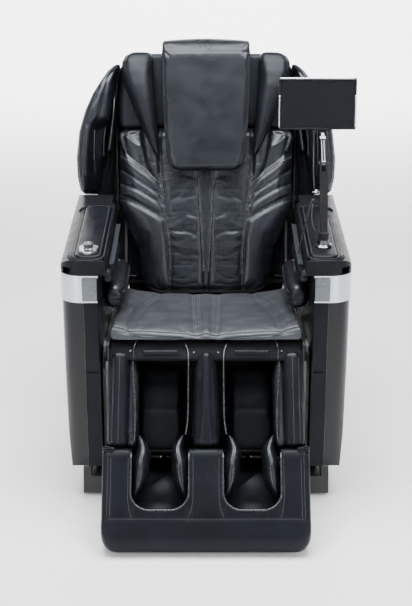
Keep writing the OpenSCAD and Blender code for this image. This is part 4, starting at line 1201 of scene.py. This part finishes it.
# ---------- head pillow ----------
# A long soft pillow in smooth leather that hangs in front of the head cushion from a flap over
# the top edge; a gusset seam runs round its face.
pillow_hide = leather("pillow leather", 0.16, (1, 1, 1), rough=0.36, gloss=0.36)
spine = curve_through([(0, -125, 413), (0, -126, 480), (0, -126, 560),
                       (0, -126, 650), (0, -125, 740), (0, -124, 776),
                       (0, -119, 800), (0, -106, 813), (0, -86, 818), (0, -60, 818), (0, -35, 816)], 9, 1.0)
half_at = ([413, 416, 421, 431, 460, 541, 634, 780, 830], [84, 96, 105, 114, 124, 134, 140, 142, 138])
rings = []
ways = np.gradient(spine, axis=0)
for i, (p, d) in enumerate(zip(spine, ways)):
    d = d / np.linalg.norm(d)
    off = np.array([0, -d[2], d[1]])
    ahead = min(np.linalg.norm(p - spine[0]), 14) / 14
    behind = min(np.linalg.norm(p - spine[-1]), 8) / 8
    swell_out = 0.45 + 0.55 * math.sqrt(max(0, 1 - (1 - min(ahead, behind)) ** 2))
    h = (13.5 if p[2] < 780 and p[1] < -120 else 11.0) * swell_out
    w = np.interp(p[2], *half_at) if p[1] < -119 else 140 - 3 * smooth((p[1] + 119) / 60)
    ring = spread_evenly(round_corners(-w, w, -h, h, h * 0.95, 7), 150)
    crown = 3.5 * (1 - (ring[:, 0] / w) ** 2) * (ring[:, 1] > 0) * ahead
    rings.append(np.column_stack([ring[:, 0], p[1] + off[1] * (ring[:, 1] + crown),
                                 p[2] + off[2] * (ring[:, 1] + crown)]))
pillow = skin("pillow", rings, pillow_hide.m, on_back)
swell(pillow, 0.004, None, 2.0)


def pillow_dents(p):
    x, z = np.abs(p[:, 0]), p[:, 2]
    w = np.interp(z, half_at[0], half_at[1])
    d = np.where(z < 800, np.abs(x - (w - 8)), 99)
    d = np.minimum(d, np.where(z < 430, np.abs(z - 405), 99))
    crumple = 0.5 * rough_land(x, z, 22, 30, 9.9) * np.exp(-d / 20)
    return valley(d, 1.5, 4, 1.6) + 1.5 * rough_land(x, z, 90, 70, 4.4) + crumple


press(pillow, on_back, pillow_dents)
finer(pillow)
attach(pillow, "pillow")
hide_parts("head_pillow")
rim_line = [(s * (np.interp(z, *half_at) - 8), z)
            for s, zs in ((1, range(770, 420, -14)), (-1, range(430, 780, 14))) for z in zs]
stitching("pillow_stitches", [down_back(rim_line, pillow, 0.2, 8)], "pillow")


# ---------- waist shade sheet -----
# A thin sheet in near-black leather, slightly rumpled, fixed across the foot of the back: painted shade that
# fills the gap between the cushion and the recline frame behind it.
rings = []
for z in np.linspace(-54, 86, 22):
    x = np.linspace(-249, 249, 70)
    face = 25 + 2.0 * np.sin(x / 17 + z / 29) + 1.5 * math.sin(z / 11)
    rings.append(np.column_stack([np.r_[x, x[::-1]], np.r_[face, face[::-1] + 2.5], np.full(140, z)]))
gusset = outward(solid("waist_shade_sheet", on_back(np.vstack(rings)), ring_faces(len(rings), 140), painted_shade_hide.m))
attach(gusset, "back")


# ---------- leg rest: calf section ----------
# A black moulded box round the knee hinge, covered in leather: padded outer walls, a centre
# divider, a shin pad in each channel and a fabric bar at its top, snapped to the knee roll.
on_leg = Place((0, -256, 474), -37)
calf_hide = leather("calf leather", 0.3, (1, 1, 0.6), gloss=0.17)
# Black moulded plastic made darker still and nearly without shine, so the tray's upward faces stay dark:
# painted shade.
tray_shade_black = Finish("tray plastic with painted shade", (0.003, 0.003, 0.0035), 0.7, Specular_IOR_Level=0.1)
tray_shade_black.shine(tray_shade_black.cloud(50), 0.3, 0.7, 0.1).bump(tray_shade_black.cells(900), 0.0002, 0.5)
# Near-black matt cloth for the channel lining: painted shade in that recess.
shade_cloth = Finish("channel shade cloth", (0.003, 0.003, 0.0035), 0.9, Specular_IOR_Level=0.06)
shade_cloth.shine(shade_cloth.cloud(40), 0.3, 0.7, 0.06).bump(shade_cloth.cells(1100), 0.0004, 0.6)


def leg_box(name, outline, x0, x1, finish):
    """A side outline (y, z) drawn across from x0 to x1."""
    outline = np.asarray(outline, float)
    n = len(outline)
    points = [np.column_stack([np.full(n, x), outline]) for x in (x0, x1)]
    return outward(solid(name, on_leg(np.vstack(points)), ring_faces(2, n), finish))


def arc(cy, cz, r, a0, a1, steps):
    t = np.radians(np.linspace(a0, a1, steps))
    return np.column_stack([cy + r * np.cos(t), cz + r * np.sin(t)])


def knee_roll():
    """The rolled knee edge, one length of padded leather over the hinge, in the dull near-black leather:
    partly its own dark cover, partly painted shade.
    """
    rings = []
    for x in np.linspace(-272, 272, 96):
        edge = min(1, (272 - abs(x)) / 10)
        r = 27 - 4 * (1 - edge) ** 2
        inner = 5.0
        outer = arc(0, 0, r, 200, -12, 26)
        front = [(-27.5, -26), (-29, -40), (-30, -52)]
        back_run = [(-22, -52), (-20, -36), (-18, -20)]
        lower = arc(0, 0, r - inner, 180, -12, 16)
        loop = np.vstack([np.array(front[::-1]), outer, lower[::-1], np.array(back_run[::-1])])
        rings.append(np.column_stack([np.full(len(loop), x), loop]))
    m, n = len(rings), len(rings[0])
    piece = outward(solid("knee_roll", on_leg(np.vstack(rings)), ring_faces(m, n), painted_shade_hide.m))
    return piece


roll = knee_roll()


def roll_dents(p):
    x, z = np.abs(p[:, 0]), p[:, 2]
    outer = near(x, z, [(206, -60), (198, 0), (192, 40)])[0]
    inner = near(x, z, [(56, -60), (58, 0), (60, 40)])[0]
    return valley(outer, 2.4, 6) + valley(inner, 2.4, 6) + 1.0 * rough_land(p[:, 0], p[:, 2], 50, 30, 3.3)


press(roll, on_leg, roll_dents, (0, -0.8, 0.6))
finer(roll)
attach(roll, "leg_rest")
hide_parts("calf_housing")
# the moulded tray behind: two side walls and a rear shell, in the darkened plastic (painted shade)
tray_line = [(40, -295.3), (91.6, -295.3), (91.6, -40), (70, -8.4), (27, -6), (27, -14), (64, -16), (85, -43),
             (85, -289), (40, -289)]
wall_line = [(-14, -295.3), (91, -295.3), (91, -40), (69, -9), (0, -20), (-14, -30)]
tray = leg_box("calf_tray", tray_line, -272.2, 272.2, tray_shade_black.m)
walls = [leg_box("calf_wall_left", wall_line, 264, 272.2, tray_shade_black.m),
         leg_box("calf_wall_right", wall_line, -272.2, -264, tray_shade_black.m)]
for piece in (tray, *walls):
    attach(piece, "leg_rest")


def bolster(name, x, y, z, r, side, finish, end=20, cols=56, rows=40, seams=(), seed=1.0, most=0.004,
            crown=0.0, narrow=(1.0, 1.0)):
    """A padded bar along the leg rest: x, y (front to rear) and z (top to bottom)."""
    rings = []
    for i in range(rows + 1):
        s = i / rows
        t = 0.45 * s + 0.55 * (0.5 - 0.5 * math.cos(math.pi * s))
        at = z[1] + (z[0] - z[1]) * t
        edge = min(at - z[1], z[0] - at)
        fall = 1 - math.sqrt(max(0.0, 1 - (1 - min(1, edge / end)) ** 2))
        lean = narrow[0] + (narrow[1] - narrow[0]) * s
        hx = lean * (x[1] - x[0]) / 2 - 0.6 * end * fall * (1 if (x[1] - x[0]) > 2 * end else 0.5)
        front = y[0] + end * 0.9 * fall
        hy = (y[1] - front) / 2
        ring = spread_evenly(round_corners(-hx, hx, -hy, hy, min(r, hx * 0.97, hy * 0.97), 8), cols)
        bulge = crown * np.clip(-ring[:, 1] / hy, 0, 1) * (1 - (ring[:, 0] / hx) ** 2)
        rings.append(np.column_stack([(x[0] + x[1]) / 2 + ring[:, 0], (front + y[1]) / 2 + ring[:, 1] - bulge,
                                      np.full(cols, at)]))
    pad = skin(name, rings, finish, on_leg, side)
    swell(pad, most, None, 2.5)
    if seams:
        def seam_dents(p):
            x, z = np.abs(p[:, 0]), p[:, 2]
            lines = sum(valley(near(x, z, line)[0], 2.4, 5) for line in seams)
            return lines + 0.9 * rough_land(x, z, 30, 46, seed)

        press(pad, on_leg, seam_dents)
    finer(pad)
    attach(pad, "leg_rest")
    return pad


def calf_side(side, suffix):
    outer = bolster("calf_wall_pad_" + suffix, (216, 270.5), (-37, 60), (-21, -293), 20, side, calf_hide.m,
                    18, seams=[[(262, -30), (262, -296)], [(237, -30), (235, -296)]], seed=2.2 + side)
    bolster("calf_airbag_" + suffix, (193, 224), (-14, 84), (-40, -292), 14, side, roll_hide.m, 16, seed=4.4)
    # Shin pads in near-black leather: their dark tone is painted shade down in each channel.
    bolster("shin_pad_" + suffix, (66, 191), (58, 85), (-46, -292), 12, side, painted_shade_hide.m, 14, 70, 36,
             seams=[[(66, -170), (191, -170)]], seed=6.6, crown=8)
    if side > 0:
        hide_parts("calf_airbags")
    runs = [[(200, -24, -38), (205, -24, -60), (202, -22, -110), (197, -20, -168), (196, -18, -236),
             (198, -10, -276)],
            [(58, -26.5, 0), (51, -31, -24), (49, -38.5, -52), (49, -39.5, -120), (50, -39.5, -214),
             (56, -34, -262)],
            [(192, -19, 18), (198, -26.6, 3), (203, -28, -20), (201, -26, -44)]]
    runs = [curve_through(flip(on_leg(run), side) * 1000, 6) for run in runs]
    welts = bars("calf_welt_" + suffix, list(zip(runs, (0.0024, 0.0022, 0.0022))), welt_hide.m, 8)
    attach(welts, "leg_rest")
    rows = [flip([(x, 0, z) for z in range(-44, -286, -12)], side) for x in (258, 241)]
    stitching("calf_stitches_" + suffix, [lay(row, on_leg, 160, outer, 0.2) for row in rows], "leg_rest")
    # fabric bar across the head of the channel, and the snap beside it
    bolster("channel_bar_" + suffix, (76, 180), (-31.6, -26), (-19, -36),
            2.6, side, calf_hide.m, 5, 44, 14, seed=9.3)
    snap = []
    for x, y, z in ((212, -28.6, -22), (34, -29.2, -27)):
        ring = [(0.2, 4.2), (-1.2, 4.0), (-2.0, 2.6), (-1.5, 1.6)]
        snap.append((flip(on_leg([(x, y + d, z) for d, _ in ring]), side), [r * 0.0007 for _, r in ring]))
    snaps = bars("knee_snaps_" + suffix, snap, snap_grey_and_band_shade.m, 16)
    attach(snaps, "leg_rest")


both(calf_side)
bolster("calf_divider", (-40, 40), (-38.5, 85), (-23, -293), 22, 1, calf_hide.m, 18, 70,
        seams=[[(14, -10), (15, -120), (19, -220), (24, -296)]], seed=8.1, crown=2, narrow=(0.92, 0.66))
# A dark sheet behind the shin pads in the near-black cloth: painted shade in each channel.
lining_line = [(84, -291), (84, -45), (60, -20), (30, -24), (30, -28), (57, -26), (80, -47), (80, -291)]
lining = leg_box("channel_shade_sheet", lining_line, -262, 262, shade_cloth.m)
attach(lining, "leg_rest")

# ---------- leg rest: foot section ----------
# A leather-covered foam boot box that slides out on two tubes: two wells with leaf-shaped
# airbags, a stitched front rim, and three-wheel sole rollers at the foot of each well.
foot_hide = leather("foot leather", 0.22, (1, 1, 1), rough=0.42, gloss=0.13)
dress(motor_black, "foot_rollers")
well = (46, 204, -470)
box_side = np.array([(-24, -299), (-36, -306), (-39, -322), (-39, -400),
                     (-39, -488), (-37, -520), (-29, -548),
                     (-14, -568), (4, -576), (14, -573), (34, -558), (56, -541),
                     (92, -515), (128, -488), (127, -400),
                     (126, -299)], float)


def foot_box():
    """The boot box as a dense front sheet with two wells cut in it, closed by its sides."""
    xs = np.linspace(-282, 282, 190)
    body = []
    outline = spread_evenly(box_side, 120)
    for x in xs:
        edge = 282 - abs(x)
        fall = 1 - math.sqrt(max(0.0, 1 - (1 - min(1, edge / 16)) ** 2))
        corner = max(0.0, 1 - edge / 40)
        loop = outline.copy()
        mid = np.array([44, -430])
        off = loop - mid
        size = np.linalg.norm(off, axis=1)[:, None]
        loop = loop - off / size * (15 * fall)
        low = loop[:, 1] < -500
        loop[low, 1] += 26 * corner ** 2 * ((-500 - loop[low, 1]) / 76)
        body.append(np.column_stack([np.full(len(loop), x), loop]))
    return outward(solid("foot_box", on_leg(np.vstack(body)), ring_faces(len(xs), len(outline)), foot_hide.m))


foot = foot_box()
cutters = []
for side in (1, -1):
    ring = round_corners(well[0], well[1], well[2], -200, 50, 14)
    points = np.vstack([np.column_stack([side * ring[:, 0], np.full(len(ring), y), ring[:, 1]])
                        for y in (-80, 94)])
    cutters.append(outward(solid("well_cutter", on_leg(points), ring_faces(2, len(ring)),
                          foot_hide.m, shade_cloth.m)))
    tube = arc(22, -491, 23, 0, 360, 37)[:-1]
    points = np.vstack([np.column_stack([np.full(36, side * x), tube]) for x in (54, 196)])
    cutters.append(outward(solid("roller_cutter", on_leg(points), ring_faces(2, 36), shade_cloth.m)))
for c in cutters:
    cut = foot.modifiers.new("cut", "BOOLEAN")
    cut.operation, cut.solver, cut.object = "DIFFERENCE", "EXACT", c
mesh = bpy.data.meshes.new_from_object(foot.evaluated_get(bpy.context.evaluated_depsgraph_get()))
foot.modifiers.clear()
foot.data = mesh
for c in cutters:
    bpy.data.objects.remove(c)


def foot_dents(p):
    x, z = np.abs(p[:, 0]), p[:, 2]
    rim, run = near(x, z, [(0, -490), (282, -488)])
    outer = near(x, z, [(262, -300), (262, -492)])[0]
    inner = near(x, z, [(211, -300), (211, -440), (206, -466), (200, -490)])[0]
    mid = near(x, z, [(38, -300), (38, -440), (42, -466), (50, -490)])[0]
    below = z < -494
    out = valley(rim, 2.4, 7) + (valley(outer, 1.8, 6) + valley(inner, 1.8, 5) + valley(mid, 1.8, 5)) * ~below
    pleat = near(x, z, [(199, -462), (214, -476)])[0]
    pleat = np.minimum(pleat, near(x, z, [(51, -462), (38, -476)])[0])
    out += valley(pleat, 2.5, 4)
    out += 1.3 * rough_land(x, z, 80, 60, 6.3)
    out += 0.5 * rough_land(run, rim, 12, 40, 2.9) * np.exp(-rim / 14)
    return out


press(foot, on_leg, foot_dents)
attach(foot, "foot_rest")
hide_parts("foot_housing")


def on_foot(line, lift=0.3):
    return lay([(x, 0, z) for x, z in line], on_leg, 160, foot, lift)


foot_runs = [on_foot([(s * x, z) for x, z in line], 0.2) for s in (1, -1) for line in (
    [(262 + 4, -330), (266, -486)], [(262 - 4, -330), (258, -486)],
    [(211, -330), (211, -440), (207, -466), (202, -486)],
    [(35, -330), (35, -440), (39, -466), (47, -486)])]
foot_runs.append(on_foot([(-260, -493), (260, -493)], 0.2))
stitching("foot_stitches", foot_runs, "foot_rest")


def well_welts(side, suffix):
    ring = round_corners(well[0] + 0.5, well[1] - 0.5, well[2] + 0.5, -250, 50, 12)
    ring = ring[ring[:, 1] < -300]
    ring = ring[np.argsort(np.arctan2(ring[:, 1] + 380, ring[:, 0] - 125))]
    path = np.column_stack([ring[:, 0], np.full(len(ring), -38.4), ring[:, 1]])
    a, b = (46.5, -38.4, -312), (203.5, -38.4, -312)
    path = np.vstack([[a] if path[0, 0] < 125 else [b], path, [b] if path[0, 0] < 125 else [a]])
    line = flip(on_leg(curve_through(path, 4, 1.0)), side)
    welt = bars("well_welt_" + suffix, [(line, 0.0024)], welt_hide.m, 8)
    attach(welt, "foot_rest")


both(well_welts)
leaf = np.array([(-432, 9, 15), (-418, 24, 33), (-390, 41, 49),
                 (-350, 49, 55), (-308, 43, 46), (-274, 25, 28),
                 (-254, 9, 16)], float)


def leaf_bags(side, suffix):
    for wall, way, label in ((well[0] + 0.4, 1, "inner"), (well[1] - 0.4, -1, "outer")):
        def lean(z):
            return wall + way * np.interp(z, [-335, -294], [0, 13])

        rings = []
        for t in np.linspace(0, 1, 26):
            z = -432 + 178 * (0.4 * t + 0.6 * (0.5 - 0.5 * math.cos(math.pi * t)))
            thick, deep = np.interp(z, leaf[:, 0], leaf[:, 1]), np.interp(z, leaf[:, 0], leaf[:, 2])
            a = np.radians(np.arange(0, 360, 9))
            rings.append(np.column_stack([lean(z) + way * (thick / 2 + thick / 2 * np.cos(a)),
                                          20 + deep * np.sin(a),
                                          np.full(40, z)]))
        pad = skin("leaf_bag_%s_%s" % (label, suffix), rings, roll_hide.m, on_leg, side, (0.7, 0.3))
        press(pad, on_leg, lambda p: 0.8 * rough_land(p[:, 1], p[:, 2], 26, 40, 3.1 + way),
              (way * side, 0, 0))
        finer(pad)
        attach(pad, "foot_rest")
        if side > 0 and way > 0:
            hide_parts("foot_airbags")
        zs = np.linspace(-427, -259, 14)
        thick, deep = np.interp(zs, leaf[:, 0], leaf[:, 1]), np.interp(zs, leaf[:, 0], leaf[:, 2])
        spine_line = on_leg(np.column_stack([lean(zs) + way * (thick * 0.6), 20 - deep + 1, zs]))
        welt = bars("leaf_welt_%s_%s" % (label, suffix), [(flip(spine_line, side), 0.0014)], welt_hide.m, 8)
        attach(welt, "foot_rest")


both(leaf_bags)


def cuff_folds(side, suffix):
    """Three soft folds where the boot leather gathers below the calf pads."""
    runs = []
    for k, z in enumerate((-298.5, -303.0, -308.0)):
        front = [(x, -35.5 - 0.8 * math.sin(x / 5 + k) + 0.02 * (x - 250) * k,
                  z + 1.6 * math.sin(x / 7 + 2 * k))
                 for x in np.linspace(250, 277, 12)]
        wrap = [(281 + 0.6 * math.sin(y / 9 + k), y, z + 1.4 * math.sin(y / 8 + k))
                for y in np.linspace(-26, 60, 22)]
        runs.append((flip(on_leg(curve_through(front + wrap, 3, 1.0)), side), 0.0026 + 0.0005 * (k % 2)))
    folds = bars("foot_cuff_folds_" + suffix, runs, foot_hide.m, 10)
    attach(folds, "foot_rest")


both(cuff_folds)

# ---------- massage robot ----------
# The carriage on its rails behind the back cushion: two pressed arms that rock on the knead
# shaft, each with an upper and a lower roller moulded in grey nylon.
nylon = Finish("roller nylon", (0.055, 0.058, 0.062), 0.48, Specular_IOR_Level=0.4)
nylon.shine(nylon.cloud(70), 0.3, 0.7, 0.08).bump(nylon.cloud(900, 2), 0.0002, 0.5)
nylon.tint(nylon.cloud(24, 3), 0.5, 0.8, (0.09, 0.092, 0.095))
pressed = Finish("pressed arm", (0.30, 0.31, 0.33), 0.36, 0.9)
pressed.shine(pressed.cloud(60), 0.3, 0.7, 0.07).bump(pressed.cloud(1100, 2, (1, 0.1, 1)), 0.0001, 0.5)
pressed.tint(pressed.cloud(12, 4), 0.5, 0.8, (0.20, 0.21, 0.22))
dress(pressed, "massage_arm_left", "massage_arm_right")
dress(nylon, "roller_upper_left", "roller_upper_right", "roller_lower_left", "roller_lower_right")

# ---------- rear cover fixings ----------
# Zinc screws round the moulded rear cover, and the louvre that lets the massage motors cool.


def set_round(name, places, ways, body, shape, size, finish):
    """One small part repeated at places on a surface, each standing along its way, as one mesh."""
    mesh = bpy.data.meshes.new(name)
    mesh.from_pydata([tuple(p) for p in places], [], [])
    stored = mesh.attributes.new("way", "FLOAT_VECTOR", "POINT")
    stored.data.foreach_set("vector", np.asarray(ways, float).ravel())
    base = bpy.data.objects.new(name + "_spots", mesh)
    scene.collection.objects.link(base)
    tree = bpy.data.node_groups.new(name, "GeometryNodeTree")
    face, new, join = tree.interface, tree.nodes.new, tree.links.new
    face.new_socket("Geometry", in_out="INPUT", socket_type="NodeSocketGeometry")
    wanted = face.new_socket("Part size", in_out="INPUT", socket_type="NodeSocketVector")
    face.new_socket("Geometry", in_out="OUTPUT", socket_type="NodeSocketGeometry")
    start, end = new("NodeGroupInput"), new("NodeGroupOutput")
    way = new("GeometryNodeInputNamedAttribute")
    way.data_type = "FLOAT_VECTOR"
    way.inputs["Name"].default_value = "way"
    turn = new("FunctionNodeAlignRotationToVector")
    turn.axis = "Z"
    part = new(shape)
    put, real = new("GeometryNodeInstanceOnPoints"), new("GeometryNodeRealizeInstances")
    coat = new("GeometryNodeSetMaterial")
    if shape == "GeometryNodeMeshCone":
        part.inputs["Vertices"].default_value, part.inputs["Depth"].default_value = 14, 1.0
        part.inputs["Radius Top"].default_value, part.inputs["Radius Bottom"].default_value = 0.72, 1.0
    else:
        part.inputs["Segments"].default_value, part.inputs["Rings"].default_value = 12, 8
    coat.inputs["Material"].default_value = finish.m
    join(start.outputs["Geometry"], put.inputs["Points"])
    join(way.outputs["Attribute"], turn.inputs["Vector"])
    join(turn.outputs["Rotation"], put.inputs["Rotation"])
    join(part.outputs["Mesh"], put.inputs["Instance"])
    join(start.outputs["Part size"], put.inputs["Scale"])
    join(put.outputs["Instances"], real.inputs["Geometry"])
    join(real.outputs["Geometry"], coat.inputs["Geometry"])
    join(coat.outputs["Geometry"], end.inputs["Geometry"])
    mod = base.modifiers.new("set", "NODES")
    mod.node_group = tree
    mod[wanted.identifier] = size
    mesh = bpy.data.meshes.new_from_object(base.evaluated_get(bpy.context.evaluated_depsgraph_get()))
    base.modifiers.clear()
    made = bpy.data.objects.new(name, mesh)
    scene.collection.objects.link(made)
    bpy.data.objects.remove(base)
    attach(made, body)
    return made


cover = BVHTree.FromObject(node["back_shell"], bpy.context.evaluated_depsgraph_get())
out_back = Vector(np.array([0, 1, 0]) @ on_back.turn.T)


def on_cover(x, z):
    hit = cover.ray_cast(Vector(on_back([(x, 400, z)])[0]), -out_back, 1.0)
    return (np.array(hit[0]), np.array(hit[1])) if hit[0] is not None else None


spots = [on_cover(x, z) for x, z in [(s * x, z) for s in (1, -1) for x, z in
                                     ((150, 92), (186, 210), (196, 360), (196, 520), (176, 664), (70, 740),
                                      (60, 92))]]
spots = [s for s in spots if s]
heads = set_round("cover_screws", [p + n * 0.0002 for p, n in spots], [n for _, n in spots], "back",
                  "GeometryNodeMeshCone", (0.0042, 0.0042, 0.0018), clip_steel)
spots = [on_cover(x, z) for z in np.arange(150, 236, 9.5) for x in (-62, 62)]
spots = [s for s in spots if s]
louvre = set_round("cover_louvre", [p + n * 0.0004 for p, n in spots], [n for _, n in spots], "back",
                   "GeometryNodeMeshUVSphere", (0.052, 0.0026, 0.0016), rim_black)
